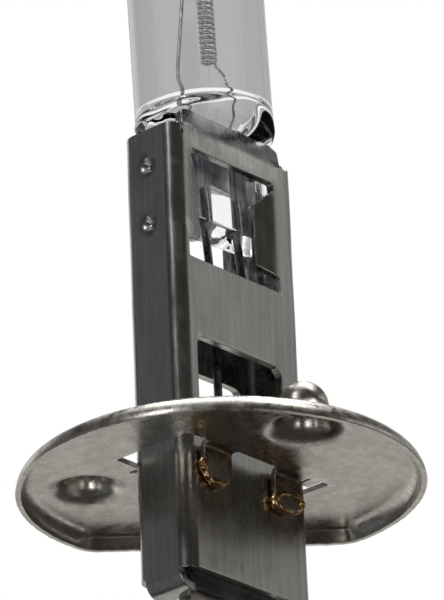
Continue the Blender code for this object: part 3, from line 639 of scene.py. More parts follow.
def rim_profile(bent, flat):
    """Inset and drop of the rolled rim: a soft quarter round, a sharper wall along the flat."""
    phi = bent / RIM_BEND
    soft_inset = RIM_BEND * (1 - np.sin(phi))
    soft_drop = RIM_BEND * (1 - np.cos(phi))
    ahead = RIM_BEND - FLAT_BEND
    run = bent * (ahead + FLAT_BEND * math.pi / 2 + FLAT_WALL) / (RIM_BEND * math.pi / 2)
    arc = np.clip(run - ahead, 0, FLAT_BEND * math.pi / 2)
    phi = arc / FLAT_BEND
    sharp_inset = RIM_BEND - np.minimum(run, ahead) - FLAT_BEND * np.sin(phi)
    wall = np.clip(run - ahead - FLAT_BEND * math.pi / 2, 0, None)
    sharp_drop = FLAT_BEND * (1 - np.cos(phi)) + wall
    inset = soft_inset + (sharp_inset - soft_inset) * flat
    return inset, soft_drop + (sharp_drop - soft_drop) * flat


def form_flange(points):
    """The blank's outer face when pressed: rolled rim, domed bosses, tongues turned down."""
    world = turned(points, SLEEVE_TURN)
    angle, inset = rim_inset(world)
    bent = np.clip(RIM_BEND - inset, 0, RIM_BEND + RIM_EXTRA)
    true_inset, drop = rim_profile(bent, smooth(0.67, 0.76, np.sin(angle)))
    reach = np.where(bent > 0, rim_reach(angle, true_inset), np.hypot(world[:, 0], world[:, 1]))
    ragged = 0.008 * np.sin(41 * angle) * np.sin(17 * angle + 1) + 0.006 * np.sin(97 * angle)
    z = DISC_TOP - drop + ragged * smooth(1.58, 1.7, bent)
    place = turned(polar(reach, angle), -SLEEVE_TURN)
    for centre in boss_places():
        away = points - np.array(centre)
        radius = np.hypot(away[:, 0], away[:, 1])
        near = radius < BOSS_FOOT
        along = radius / BOSS_FOOT * BOSS_ALONG[-1]
        new_radius = np.interp(along, BOSS_ALONG, BOSS[:, 0])
        scale = np.where(near, new_radius / np.maximum(radius, 1e-9), 1)
        place = np.where(near[:, None], np.array(centre) + away * scale[:, None], place)
        z = np.where(near, DISC_TOP + np.interp(along, BOSS_ALONG, BOSS[:, 1]), z)
    for side in (-1, 1):
        for middle in TONGUES:
            on_tongue = np.abs(points[:, 0] + side * middle) < TONGUE_HALF + 1e-3
            on_tongue &= (points[:, 1] * side < TONGUE_START) & (points[:, 1] * side > 0.02)
            past = np.clip(TONGUE_START - points[:, 1] * side, 0, None)
            turn = np.minimum(past / TONGUE_BEND, math.pi / 2)
            rest = past - turn * TONGUE_BEND
            new_y = side * (TONGUE_START - TONGUE_BEND * np.sin(turn))
            new_z = DISC_TOP - TONGUE_BEND * (1 - np.cos(turn)) - rest
            place[:, 1] = np.where(on_tongue, new_y, place[:, 1])
            z = np.where(on_tongue, new_z, z)
    z = z + 0.01 * np.sin(0.7 * points[:, 0] + 0.5) * np.sin(0.8 * points[:, 1]) * (bent <= 0)
    return np.stack([place[:, 0], place[:, 1], z], 1)


def rim_points(count, inset):
    """Points of the blank along its rim, at that inset from the finished outline."""
    angles = full_turn(count)
    return turned(polar(rim_reach(angles, inset), angles), -SLEEVE_TURN)


def flange_grid():
    """Inner points of the blank: rings in the rim's bend and round each boss, lines on tongues."""
    groups = [
        rim_points(220, inset) for inset in np.linspace(-RIM_EXTRA + 0.12, RIM_BEND + 0.05, 12)
    ]
    for centre in boss_places():
        for i in range(27):
            radius = BOSS_FOOT * i / 24
            circle = polar(radius, full_turn(max(1, min(64, 8 * i)))) + centre
            _, inset = rim_inset(turned(circle, SLEEVE_TURN))
            groups.append(circle[inset > RIM_BEND + 0.18])
    tongue_y = np.arange(0.1, 2.7, 0.09)
    for side in (-1, 1):
        for middle in TONGUES:
            across = np.linspace(-TONGUE_HALF, TONGUE_HALF, 9)[1:-1] - side * middle
            groups.append(grid_of(across, tongue_y * side))
    coarse = grid_of(np.arange(-10, 10.1, 0.55), np.arange(-10, 10.1, 0.55))
    _, inset = rim_inset(turned(coarse, SLEEVE_TURN))
    keep = inset > RIM_BEND + 0.3
    for centre in boss_places():
        keep &= np.hypot(*(coarse - np.array(centre)).T) > BOSS_FOOT * 1.15
    groups.append(coarse[keep & (np.abs(coarse[:, 1]) > 2.9)])
    groups.append(coarse[keep & (np.abs(coarse[:, 0]) > 4.9) & (np.abs(coarse[:, 1]) <= 2.9)])
    return np.concatenate(groups)


def make_flange(material):
    outline = [Vector(point) for point in rim_points(260, -RIM_EXTRA)]
    flat = flat_mesh(outline, [opening_outline()], flange_grid(), 0.26, EDGE)
    mesh = formed_sheet("flange_disc", flat, form_flange, DISC_SHEET, EDGE)
    piece = link("flange_disc", mesh, SLEEVE, material)
    return ride(piece, "flange_steel", "flange")


def weld_mesh(name, path, radius, closed):
    """A melted bead along a path: a tube of uneven thickness, a ring or with rounded ends."""

    def swell(i):
        t = i / (len(path) - 1)
        end = 1.0 if closed else min(1.0, math.sqrt(max(0.0, 1 - (2 * t - 1) ** 6)) + 0.05)
        turn = 2 * math.pi * i / len(path)
        return end * (1 + 0.2 * math.sin(2 * turn + 0.6) + 0.1 * math.sin(7 * turn))

    return tube_mesh(name, path, radius, 5, closed, swell)


def crescent(middle, side):
    """A weld run down one edge of a tongue, round its end and part way up the other."""
    path = []
    for step in range(41):
        angle = math.radians(-186 + 160 * step / 40)
        path.append((
            middle + TONGUE_HALF * math.cos(angle),
            side * (TONGUE_FACE + 0.12),
            TONGUE_END + TONGUE_HALF * (1 + math.sin(angle)),
        ))
    return path


def loop(middle, side):
    """A weld melted right round a tongue's end."""
    path = []
    for step in range(40):
        angle = 2 * math.pi * step / 40
        along, up = 0.98 * math.cos(angle), 0.42 * math.sin(angle)
        path.append((
            middle + along,
            side * (TONGUE_FACE + 0.16 + 0.1 * math.sin(angle)),
            TONGUE_END + 0.42 + up + 0.08 * along,
        ))
    return path


def make_flange_welds(material):
    number = 1
    for side in (-1, 1):
        for middle in TONGUES:
            closed = middle > 0
            shape = loop if closed else crescent
            name = f"tongue_weld_{number}"
            mesh = weld_mesh(name, shape(-side * middle, side), 0.22, closed)
            ride(link(name, mesh, SLEEVE, material), "weld_bead", f"flange_weld_{number}")
            number += 1


# ---------------------------------------------------------------- burner

PINCH_X = 3.95
PINCH_Y = 1.1
TUBE = 3.62
BORE = 2.77
DOME_START = 35.6
CAVITY_FOOT = 19.85
PINCH_FOOT = float(GLASS_LOW[2]) + PINCH_CENTRE
PINCH_WAIST = 0.05
SHOULDER_FOOT = 19.05
SHOULDER_RISE = 0.85
TIP_TOP = float(GLASS_HIGH[2]) + PINCH_CENTRE
TIP_RADIUS = 0.42
TIP_TURN = 70
RING = 112


def ring(half_x, half_y, z, power, waist=0.0):
    """One level of the glass: a superellipse, its flat sides drawn in by waist."""
    points = []
    for i in range(RING):
        angle = 2 * math.pi * i / RING
        c, s = math.cos(angle), math.sin(angle)
        scale = (abs(c) ** power + abs(s) ** power) ** (-1 / power)
        x, y = half_x * c * scale, half_y * s * scale
        hollow = 1 - waist * (1 - float(smooth(0.62, 0.8, abs(x) / half_x)))
        points.append((x * MM, y * hollow * MM, (z - PINCH_CENTRE) * MM))
    return points


def loft(bm, rings, inward=False):
    """A closed skin over the levels, facing outwards or inwards."""
    rows = [[bm.verts.new(point) for point in level] for level in rings]
    for lower, upper in zip(rows, rows[1:]):
        for i in range(RING):
            j = (i + 1) % RING
            quad = (lower[i], lower[j], upper[j], upper[i])
            bm.faces.new(quad[::-1] if inward else quad)
    for row, flip in ((rows[0], not inward), (rows[-1], inward)):
        centre = sum((v.co for v in row), Vector()) / RING
        hub = bm.verts.new(centre)
        for i in range(RING):
            tri = (row[i], row[(i + 1) % RING], hub)
            bm.faces.new(tri[::-1] if flip else tri)


def dome(reach, height, turn, count):
    """Levels of a dome over the tube, up to that many degrees."""
    levels = []
    for step in range(1, count + 1):
        angle = math.radians(turn) * step / count
        wide = reach * math.cos(angle)
        levels.append(ring(wide, wide, DOME_START + height * math.sin(angle), 2))
    return levels


def outer_rings():
    """The glass's outer skin: flat pinch, shoulder, tube, dome and drawn tip."""
    rings = []
    for step in range(5):
        angle = math.pi / 2 * step / 4
        ease = 0.1 * (1 - math.sin(angle))
        z = PINCH_FOOT + 0.1 * (1 - math.cos(angle))
        rings.append(ring(PINCH_X - ease, PINCH_Y - ease, z, 5, PINCH_WAIST))
    for z in np.linspace(PINCH_FOOT + 0.6, 18.9, 14):
        ridge = 0.008 * math.sin(3.2 * z)
        rings.append(ring(PINCH_X, PINCH_Y + ridge, z, 5, PINCH_WAIST))
    for step in range(1, 15):
        angle = math.pi / 2 * step / 14
        z = SHOULDER_FOOT + SHOULDER_RISE * (1 - math.cos(angle))
        wide = PINCH_X + (TUBE - PINCH_X) * smooth(0, 1, step / 14)
        deep = PINCH_Y + (TUBE - PINCH_Y) * math.sin(angle)
        waist = PINCH_WAIST * (1 - math.sin(angle))
        rings.append(ring(wide, deep, z, 5 - 3 * math.sin(angle), waist))
    for z in np.linspace(20.4, DOME_START, 18):
        rings.append(ring(TUBE, TUBE, z, 2))
    height = TIP_TOP - DOME_START - 1.6
    rings += dome(TUBE, height, TIP_TURN, 14)
    top = DOME_START + height * math.sin(math.radians(TIP_TURN))
    edge = TUBE * math.cos(math.radians(TIP_TURN))
    for step in range(1, 13):
        t = step / 12
        blend = float(smooth(0, 1, t))
        tip = TIP_RADIUS * blend * math.sqrt(max(0.02, 1 - t**3))
        reach = edge * (1 - blend) ** 1.3 + tip
        rings.append(ring(reach, reach, top + (TIP_TOP - top) * t, 2))
    return rings


def inner_rings():
    """The gas space's skin: a flat bottom, the bore and a dome."""
    rings = []
    for step in range(15):
        angle = math.radians(25 + 65 * step / 14)
        wide = BORE * math.sin(angle) ** 0.35
        deep = BORE * math.sin(angle) ** 0.5
        rings.append(ring(wide, deep, CAVITY_FOOT + 0.75 * (1 - math.cos(angle)), 2))
    for z in np.linspace(CAVITY_FOOT + 1.2, DOME_START, 18):
        rings.append(ring(BORE, BORE, z, 2))
    return rings + dome(BORE, TIP_TOP - DOME_START - 2.6, 83, 12)


def make_glass(material):
    bm = bmesh.new()
    loft(bm, outer_rings())
    loft(bm, inner_rings(), inward=True)
    mesh = mesh_of(bm, "glass_capsule")
    mesh.shade_smooth()
    piece = link("glass_capsule", mesh, BURNER, material)
    return ride(piece, "quartz", "quartz_envelope")


def curve_through(points, steps):
    """Points along a Catmull-Rom curve through the given ones."""
    places = [Vector(p) for p in points]
    ends = [places[0], *places, places[-1]]
    path = []
    for a, b, c, d in zip(ends, ends[1:], ends[2:], ends[3:]):
        for i in range(steps):
            t = i / steps
            bend = 2 * a - 5 * b + 4 * c - d
            path.append(0.5 * (2 * b + (c - a) * t + bend * t**2 + (3 * b - a - 3 * c + d) * t**3))
    return path + [places[-1]]


def wire(name, points, radius, material, slot, *replaced):
    """A round wire of the burner, through points at the bulb's own heights."""
    lowered = [(x, y, z - PINCH_CENTRE) for x, y, z in points]
    mesh = tube_mesh(name, lowered, radius, 3)
    mesh.set_sharp_from_angle(angle=math.radians(60))
    return ride(link(name, mesh, BURNER, material), slot, *replaced)


COIL_X, COIL_Y = 0.57, -0.15
COIL_FOOT = 23.2
COIL_PITCH = 0.29
COIL_TURNS = 18
COIL_RADIUS = 0.38
COIL_WIRE = 0.085
COIL_STEPS = 28
OUTER_WIRE = 0.22
FOIL_GAP = 0.07


def coil_points():
    """Lower leg, turns and upper leg of the filament as one path."""
    points = curve_through([(1.5, -0.4, 22.66), (1.15, -0.42, 22.85), (0.75, -0.42, 23.0)], 4)
    for step in range(COIL_TURNS * COIL_STEPS + 1):
        angle = math.radians(-90) - 2 * math.pi * step / COIL_STEPS
        points.append(Vector((
            COIL_X + COIL_RADIUS * math.cos(angle),
            COIL_Y + COIL_RADIUS * math.sin(angle),
            COIL_FOOT + COIL_PITCH * step / COIL_STEPS,
        )))
    top = COIL_FOOT + COIL_PITCH * COIL_TURNS
    points += curve_through([(0.75, -0.43, top + 0.35), (0.78, COIL_Y, top + 0.72)], 4)
    return points


def make_burner_wires(tungsten, molybdenum):
    lead_y = -(FOIL_GAP + OUTER_WIRE)
    wire("filament", coil_points(), COIL_WIRE, tungsten, "tungsten", "filament_coil")
    back = [
        (-1.6, -0.16, 18.4), (-1.6, -0.16, 20.0), (-1.62, -0.14, 21.0), (-1.74, 0, 22.0),
        (-1.38, 0, 24.5), (-0.86, 0, 27.6), (-0.6, 0, 29.0), (-0.1, -0.08, 29.9),
        (0.48, COIL_Y, 29.95), (0.78, COIL_Y, 29.6),
    ]
    wire("upper_support", curve_through(back, 8), 0.095, molybdenum, "molybdenum", "return_lead")
    low = [
        (1.6, -0.14, 18.6), (1.7, -0.14, 20.0), (1.9, -0.3, 20.9), (1.78, -0.4, 21.4),
        (1.62, -0.4, 22.0), (1.6, -0.4, 22.3),
    ]
    wire("lower_support", curve_through(low, 8), 0.08, molybdenum, "molybdenum", "lower_inner_lead")
    live = [
        (-1.05, lead_y, 15.6), (-0.8, lead_y, 12.3), (-0.75, lead_y, 11.2), (-0.55, -0.15, 8.5),
        (-0.4, 0, 5.2), (-0.5, 0, 1.5), (-0.75, 0, -1.85),
    ]
    wire("live_wire", curve_through(live, 8), OUTER_WIRE, molybdenum, "molybdenum", "live_lead")
    ground = [
        (1.45, lead_y, 15.6), (1.7, lead_y, 12.3), (1.8, lead_y, 11.3), (2.35, -0.2, 10.1),
        (3.1, 0, 9.0), (3.5, 0, 8.0), (3.55, 0, 7.2),
    ]
    wire("ground_wire", curve_through(ground, 8), OUTER_WIRE, molybdenum, "molybdenum", "ground_lead")


def make_foils(material):
    """Rolled foils with feathered long edges and a slight ripple."""
    for side, node in ((-1, "moly_foil_live"), (1, "moly_foil_ground")):
        low, high = local_box(node, BURNER)
        left, right, foot, top = low[0], high[0], low[2], high[2]
        corners = [(left, foot, 0.1), (right, foot, 0.1), (right, top, 0.1), (left, top, 0.1)]
        middle = (left + right) / 2
        half = (right - left) / 2
        grid = grid_of(np.linspace(left, right, 9)[1:-1], np.linspace(foot, top, 30)[1:-1])
        flat = flat_mesh(rounded(corners), [], grid, 0.25, 0.008)

        def form(points):
            ripple = 0.012 * np.sin(4 * points[:, 1]) * (1 - ((points[:, 0] - middle) / half) ** 2)
            return np.stack([points[:, 0], ripple + 0.02, points[:, 1]], 1)

        mesh = formed_sheet(f"foil_{'live' if side < 0 else 'ground'}", flat, form, 0.04, 0.008, 1)
        piece = link(mesh.name, mesh, BURNER, material)
        ride(piece, "moly_foil", node)


# ---------------------------------------------------------------- foot


def make_blade(material):
    bottom, top = float(BLADE_LOW[2]), float(BLADE_HIGH[2])
    half = float(BLADE_HIGH[0])
    thickness = float(BLADE_HIGH[1] - BLADE_LOW[1])
    cut = 1.2
    corners = [
        (-half, top, 0.05), (-half, bottom + cut, 0.2), (-half + 0.7 * cut, bottom, 0.2),
        (half - 0.7 * cut, bottom, 0.2), (half, bottom + cut, 0.2), (half, top, 0.05),
    ]
    hole = [
        Vector((0.85 * math.cos(a), bottom + 4.1 + 0.85 * math.sin(a)))
        for a in full_turn(40)
    ]
    grid = grid_of(np.linspace(-half, half, 12)[1:-1], np.linspace(bottom, top, 28)[1:-1])
    flat = flat_mesh(rounded(corners), [hole], grid, 0.5, 0.12)

    def form(points):
        return np.stack([points[:, 0], 0 * points[:, 0] - thickness / 2, points[:, 1]], 1)

    mesh = formed_sheet("blade", flat, form, thickness, 0.12, 3)
    piece = link("blade", mesh, SLEEVE, material)
    return ride(piece, "tinned_blade", "blade_terminal")


# ---------------------------------------------------------------- materials


class Graph:
    """A short way to write a node material."""

    def __init__(self, name):
        self.material = bpy.data.materials.new(name)
        self.material.use_nodes = True
        self.tree = self.material.node_tree
        self.shader = self.tree.nodes["Principled BSDF"]
        self.place = self.add("ShaderNodeTexCoord").outputs["Object"]

    def add(self, kind, inputs=None, **settings):
        node = self.tree.nodes.new(kind)
        for key, value in settings.items():
            setattr(node, key, value)
        for key, value in (inputs or {}).items():
            self.put(node.inputs[key], value)
        return node

    def put(self, socket, value):
        if isinstance(value, bpy.types.NodeSocket):
            self.tree.links.new(value, socket)
        else:
            socket.default_value = value

    def set(self, **inputs):
        for key, value in inputs.items():
            self.put(self.shader.inputs[key.replace("_", " ")], value)

    def metal(self, color, rough, normal):
        """The finished material of a bare metal."""
        self.set(Base_Color=color, Metallic=1.0, Roughness=rough, Normal=normal)
        return self.material

    def scaled(self, x, y, z):
        """Object coordinates in cycles per millimetre along each axis."""
        mapping = self.add("ShaderNodeMapping", {"Vector": self.place, "Scale": (x / MM, y / MM, z / MM)})
        return mapping.outputs["Vector"]

    def noise(self, scale, detail=4, rough=0.55, vector=None):
        made = self.add("ShaderNodeTexNoise", {
            "Vector": vector or self.scaled(1, 1, 1), "Scale": scale, "Detail": detail, "Roughness": rough,
        })
        return made.outputs["Fac"]

    def spread(self, value, low, high, to_low=0.0, to_high=1.0):
        made = self.add("ShaderNodeMapRange", {
            "Value": value, "From Min": low, "From Max": high, "To Min": to_low, "To Max": to_high,
        }, interpolation_type="SMOOTHSTEP")
        return made.outputs["Result"]

    def math(self, operation, a, b=0.0):
        made = self.add("ShaderNodeMath", {0: a, 1: b}, operation=operation)
        return made.outputs["Value"]

    def ramp(self, value, *stops):
        made = self.add("ShaderNodeValToRGB", {"Fac": value})
        elements = made.color_ramp.elements
        while len(elements) < len(stops):
            elements.new(0.5)
        for element, (position, color) in zip(elements, stops):
            element.position = position
            element.color = (*color, 1)
        return made.outputs["Color"]

    def mix(self, factor, a, b, blend="MIX"):
        made = self.add("ShaderNodeMix", data_type="RGBA", blend_type=blend)
        self.put(made.inputs["Factor"], factor)
        for index, value in ((6, a), (7, b)):
            value = (*value, 1) if isinstance(value, tuple) else value
            self.put(made.inputs[index], value)
        return made.outputs[2]

    def bump(self, height, strength, distance, normal=None):
        inputs = {"Height": height, "Strength": strength, "Distance": distance * MM}
        if normal:
            inputs["Normal"] = normal
        return self.add("ShaderNodeBump", inputs).outputs["Normal"]

    def distance(self, centres):
        """Distance in millimetres to the nearest of some points in the object's frame."""
        nearest = None
        for centre in centres:
            made = self.add("ShaderNodeVectorMath", {
                0: self.place, 1: tuple(c * MM for c in centre),
            }, operation="DISTANCE").outputs["Value"]
            nearest = made if nearest is None else self.math("MINIMUM", nearest, made)
        return self.math("DIVIDE", nearest, MM)


def weld_centres():
    centres = []
    for side in (-1, 1):
        for middle in TONGUES:
            centres.append((-side * middle, side * (SLEEVE_Y + 0.1), TONGUE_END + 0.35))
    return centres


def heat_tint(graph, color, strength=1.0):
    """Straw, bronze and blue rings round the welds, over the bare metal's colour."""
    wobble = graph.math("MULTIPLY", graph.spread(graph.noise(2.2), 0.3, 0.7, -0.3, 0.3), 1.0)
    away = graph.math("ADD", graph.distance(weld_centres()), wobble)
    reach = graph.math("DIVIDE", away, 2.9)
    rings = graph.ramp(
        reach, (0.0, (0.6, 0.58, 0.53)), (0.3, (0.62, 0.55, 0.42)), (0.42, (0.5, 0.33, 0.15)),
        (0.52, (0.24, 0.14, 0.09)), (0.6, (0.26, 0.25, 0.25)), (0.72, (0.46, 0.42, 0.34)),
    )
    amount = graph.spread(reach, 0.45, 0.75, 0.85 * strength, 0.0)
    return graph.mix(amount, color, rings)


def plated_steel(name, dark, light, tint):
    """Drawn, nickel-plated strip: lengthwise streaks, smudges, fine scratches, worn edges."""
    g = Graph(name)
    streaks = g.noise(1.0, 6, 0.6, g.scaled(3.2, 3.2, 0.12))
    fine = g.noise(1.0, 5, 0.7, g.scaled(14, 14, 0.5))
    patches = g.noise(0.55, 5, 0.6)
    color = g.mix(g.spread(streaks, 0.3, 0.7), dark, light)
    color = g.mix(g.spread(patches, 0.52, 0.75, 0, 0.3), color, (0.3, 0.29, 0.28))
    marks = g.noise(1.0, 2, 0.5, g.scaled(1.4, 1.4, 26))
    scratch = g.spread(marks, 0.72, 0.76, 0, 0.3)
    color = g.mix(scratch, color, (0.8, 0.79, 0.77))
    edge = g.spread(g.add("ShaderNodeNewGeometry").outputs["Pointiness"], 0.54, 0.62, 0, 0.5)
    color = g.mix(edge, color, (0.85, 0.84, 0.82))
    color = heat_tint(g, color, tint)
    rough = g.math("ADD", g.spread(patches, 0.3, 0.75, 0.2, 0.32), g.spread(fine, 0.3, 0.7, -0.03, 0.05))
    normal = g.bump(streaks, 0.05, 0.03)
    normal = g.bump(fine, 0.08, 0.006, normal)
    return g.metal(color, rough, normal)


def satin_steel(name, tint):
    """Pressed disc: soft orange-peel plating, faint rolling lines, scuffs and heat tint."""
    g = Graph(name)
    peel = g.noise(2.6, 5, 0.55)
    cloud = g.noise(0.4, 4, 0.6)
    rolled = g.noise(1.0, 4, 0.6, g.scaled(0.3, 5.0, 0.3))
    color = g.mix(g.spread(cloud, 0.35, 0.68), (0.55, 0.525, 0.48), (0.63, 0.61, 0.57))
    color = g.mix(g.spread(g.noise(1.3, 6, 0.7), 0.58, 0.72, 0, 0.25), color, (0.38, 0.34, 0.29))
    edge = g.spread(g.add("ShaderNodeNewGeometry").outputs["Pointiness"], 0.56, 0.64, 0, 0.5)
    color = g.mix(edge, color, (0.88, 0.86, 0.82))
    color = heat_tint(g, color, tint)
    rough = g.spread(g.noise(1.7, 6, 0.65), 0.3, 0.7, 0.2, 0.42)
    normal = g.bump(rolled, 0.15, 0.02)
    normal = g.bump(peel, 0.25, 0.03, normal)
    return g.metal(color, rough, normal)


def quartz_glass(name):
    """Clear fused quartz with faint draw lines along the tube."""
    g = Graph(name)
    draw = g.noise(1.0, 3, 0.5, g.scaled(1.6, 1.6, 0.04))
    normal = g.bump(draw, 0.05, 0.01)
    tint = g.mix(g.spread(draw, 0.3, 0.7), (0.965, 0.97, 0.975), (0.985, 0.985, 0.985))
    g.set(
        Base_Color=tint, Metallic=0.0, Roughness=0.0, IOR=1.458, Normal=normal,
        Transmission_Weight=1.0,
    )
    return g.material


def drawn_wire(name, dark, light, rough):
    g = Graph(name)
    grain = g.noise(6.0, 5, 0.6, g.scaled(1, 1, 0.3))
    color = g.mix(g.spread(grain, 0.35, 0.65), dark, light)
    normal = g.bump(grain, 0.2, 0.01)
    rough = g.spread(grain, 0.3, 0.7, rough - 0.08, rough + 0.1)
    return g.metal(color, rough, normal)


def foil_metal(name):
    g = Graph(name)
    streaks = g.noise(1.0, 5, 0.65, g.scaled(7, 7, 0.15))
    color = g.mix(g.spread(streaks, 0.35, 0.65), (0.20, 0.22, 0.26), (0.55, 0.57, 0.62))
    return g.metal(color, 0.3, g.bump(streaks, 0.4, 0.02))


def weld_metal(name):
    """Melted bead: bronze and dark oxide mottling over shining ripples."""
    g = Graph(name)
    mottle = g.noise(3.5, 5, 0.65)
    color = g.ramp(
        mottle, (0.3, (0.14, 0.07, 0.04)), (0.42, (0.42, 0.22, 0.09)), (0.55, (0.72, 0.5, 0.26)),
        (0.68, (0.85, 0.76, 0.58)),
    )
    ripples = g.noise(5.0, 3, 0.5)
    rough = g.spread(mottle, 0.3, 0.7, 0.34, 0.16)
    return g.metal(color, rough, g.bump(ripples, 0.5, 0.05))


# Ceramic of the terminal insulator; its near-black colour is painted shade for its place deep inside the
# sleeve's foot.
def ceramic_in_painted_shade(name):
    g = Graph(name)
    grain = g.noise(9.0, 6, 0.7)
    cloud = g.noise(0.8, 3, 0.5)
    color = g.mix(g.spread(cloud, 0.3, 0.7), (0.035, 0.033, 0.032), (0.085, 0.08, 0.075))
    color = g.mix(g.spread(grain, 0.62, 0.72, 0, 0.4), color, (0.2, 0.19, 0.18))
    g.set(Base_Color=color, Roughness=g.spread(grain, 0.3, 0.7, 0.42, 0.65), Normal=g.bump(grain, 0.4, 0.03))
    return g.material


def tinned_metal(name):
    g = Graph(name)
    streaks = g.noise(1.0, 6, 0.6, g.scaled(2.4, 2.4, 0.2))
    cloud = g.noise(0.5, 4, 0.6)
    color = g.mix(g.spread(streaks, 0.35, 0.65), (0.50, 0.48, 0.44), (0.70, 0.69, 0.66))
    color = g.mix(g.spread(cloud, 0.55, 0.75, 0, 0.5), color, (0.36, 0.33, 0.29))
    rough = g.spread(cloud, 0.3, 0.7, 0.25, 0.42)
    return g.metal(color, rough, g.bump(streaks, 0.15, 0.03))


def floor_paper(name):
    g = Graph(name)
    grain = g.add("ShaderNodeTexNoise", {"Vector": g.place, "Scale": 300.0, "Detail": 4.0}).outputs["Fac"]
    color = g.mix(g.spread(grain, 0.3, 0.7), (0.80, 0.80, 0.795), (0.84, 0.84, 0.835))
    g.set(Base_Color=color, Roughness=0.9, Normal=g.bump(grain, 0.1, 0.2))
    return g.material


def dress_cad_node(node, slot_material):
    """Keep a CAD node's shape and give it a finish of its own."""
    shown = NODES[node]
    shown.data.materials.clear()
    shown.data.materials.append(slot_material)
    shown.data.shade_smooth()
    shown.data.set_sharp_from_angle(angle=math.radians(40))


# ---------------------------------------------------------------- studio

CAMERA_PLACE = (-6.824, -259.762, -108.115)
CAMERA_TURN = math.radians(-1.6)
CAMERA_RISE = math.radians(24.38)
CAMERA_ROLL = math.radians(-2.37)
CAMERA_LENS = 331.3
FLOOR_LEVEL = -135.0


def make_camera():
    data = bpy.data.cameras.new("camera")
    data.lens = CAMERA_LENS
    data.sensor_width = 36
    data.clip_start = 0.01
    data.clip_end = 20
    camera = bpy.data.objects.new("camera", data)
    bpy.context.scene.collection.objects.link(camera)
    camera.matrix_world = (
        Matrix.Translation(Vector(CAMERA_PLACE) * MM)
        @ Matrix.Rotation(CAMERA_TURN, 4, "Z")
        @ Matrix.Rotation(math.pi / 2 + CAMERA_RISE, 4, "X")
        @ Matrix.Rotation(CAMERA_ROLL, 4, "Z")
    )
    bpy.context.scene.camera = camera


def direction(azimuth, elevation):
    """Unit vector towards a compass angle from +X, and an elevation, in degrees."""
    a, e = math.radians(azimuth), math.radians(elevation)
    return Vector((math.cos(a) * math.cos(e), math.sin(a) * math.cos(e), math.sin(e)))


# Panels of the studio: azimuth and half width, lower and upper elevation, softness at the
# edges (all in degrees), radiance and tint
STUDIO = (
    (98, 34, -62, 38, 8, 0.50, (1.0, 0.985, 0.96)),
    (8, 24, -8, 28, 4, 0.27, (1.0, 0.98, 0.95)),
    (10, 20, 29.5, 34, 1.5, 0.80, (1.0, 1.0, 1.0)),
    (48, 8, 8, 34, 3, 0.34, (1.0, 1.0, 1.0)),
    (176, 14, -50, 34, 4, 0.10, (0.88, 0.95, 1.1)),
    (128, 14, -30, 36, 5, 0.30, (1.0, 1.0, 1.0)),
    (205, 4, -40, -10, 2, 1.2, (1.0, 1.0, 1.0)),
    (235, 5, -40, -10, 2, 1.2, (1.0, 1.0, 1.0)),
    (250, 6, -36, -24, 3, 3.4, (1.0, 0.98, 0.94)),
    (300, 6, -31, -19, 3, 3.0, (1.0, 0.98, 0.94)),
    (270, 180, 68, 90, 5, 0.8, (1.0, 1.0, 1.0)),
)
AMBIENT = (0.052, 0.048, 0.044)
BACKDROP = (1.0, 1.0, 1.0)


class Sky(Graph):
    """The same short way to write nodes, for the world."""

    def __init__(self, world):
        self.tree = world.node_tree
        way = self.add("ShaderNodeTexCoord").outputs["Generated"]
        parts = self.add("ShaderNodeSeparateXYZ", {"Vector": way}).outputs
        self.azimuth = self.math("ARCTAN2", parts["Y"], parts["X"])
        self.elevation = self.math("ARCSINE", parts["Z"])

    def panel(self, azimuth, half, low, high, soft, radiance, tint):
        """The light of one panel, fading out over the softness beyond its edges."""
        away = self.math("SUBTRACT", self.azimuth, math.radians(azimuth))
        away = self.add("ShaderNodeMath", {0: away, 1: math.pi, 2: -math.pi}, operation="WRAP")
        away = self.math("ABSOLUTE", away.outputs["Value"])
        wide = self.spread(away, math.radians(half), math.radians(half + soft), 1.0, 0.0)
        up = self.math("SUBTRACT", self.elevation, math.radians((low + high) / 2))
        reach = (high - low) / 2
        tall = self.math("ABSOLUTE", up)
        tall = self.spread(tall, math.radians(reach), math.radians(reach + soft), 1.0, 0.0)
        glow = self.add("ShaderNodeVectorMath", {
            0: tuple(radiance * c for c in tint), "Scale": self.math("MULTIPLY", wide, tall),
        }, operation="SCALE")
        return glow.outputs["Vector"]

    def total(self, a, b):
        return self.add("ShaderNodeVectorMath", {0: a, 1: b}, operation="ADD").outputs["Vector"]


def make_world():
    """White where the camera looks past the bulb; a dim studio with lit panels elsewhere."""
    world = bpy.data.worlds.new("studio")
    bpy.context.scene.world = world
    world.use_nodes = True
    sky = Sky(world)
    light = AMBIENT
    for panel in STUDIO:
        light = sky.total(light, sky.panel(*panel))
    studio = world.node_tree.nodes["Background"]
    sky.put(studio.inputs["Color"], light)
    white = sky.add("ShaderNodeBackground", {"Color": (*BACKDROP, 1)})
    rays = sky.add("ShaderNodeLightPath").outputs
    through = sky.math("MAXIMUM", rays["Is Camera Ray"], rays["Is Transmission Ray"])
    mix = sky.add("ShaderNodeMixShader", {
        0: through, 1: studio.outputs["Background"], 2: white.outputs["Background"],
    })
    out = world.node_tree.nodes["World Output"]
    sky.put(out.inputs["Surface"], mix.outputs["Shader"])


def area_light(name, azimuth, elevation, away, width, height, power, color=(1, 1, 1)):
    data = bpy.data.lights.new(name, "AREA")
    data.shape = "RECTANGLE"
    data.size = width
    data.size_y = height
    data.energy = power
    data.color = color
    light = bpy.data.objects.new(name, data)
    bpy.context.scene.collection.objects.link(light)
    light.location = direction(azimuth, elevation) * away + Vector((0, 0, 10 * MM))
    light.rotation_euler = direction(azimuth, elevation).to_track_quat("Z", "Y").to_euler()
    return light


def make_lights():
    area_light("key", -128, 38, 0.5, 0.06, 0.10, 0.25)
    area_light("right_strip", -20, 66, 0.5, 0.03, 0.16, 0.35)
    area_light("top", 80, 75, 0.5, 0.25, 0.25, 1.6)


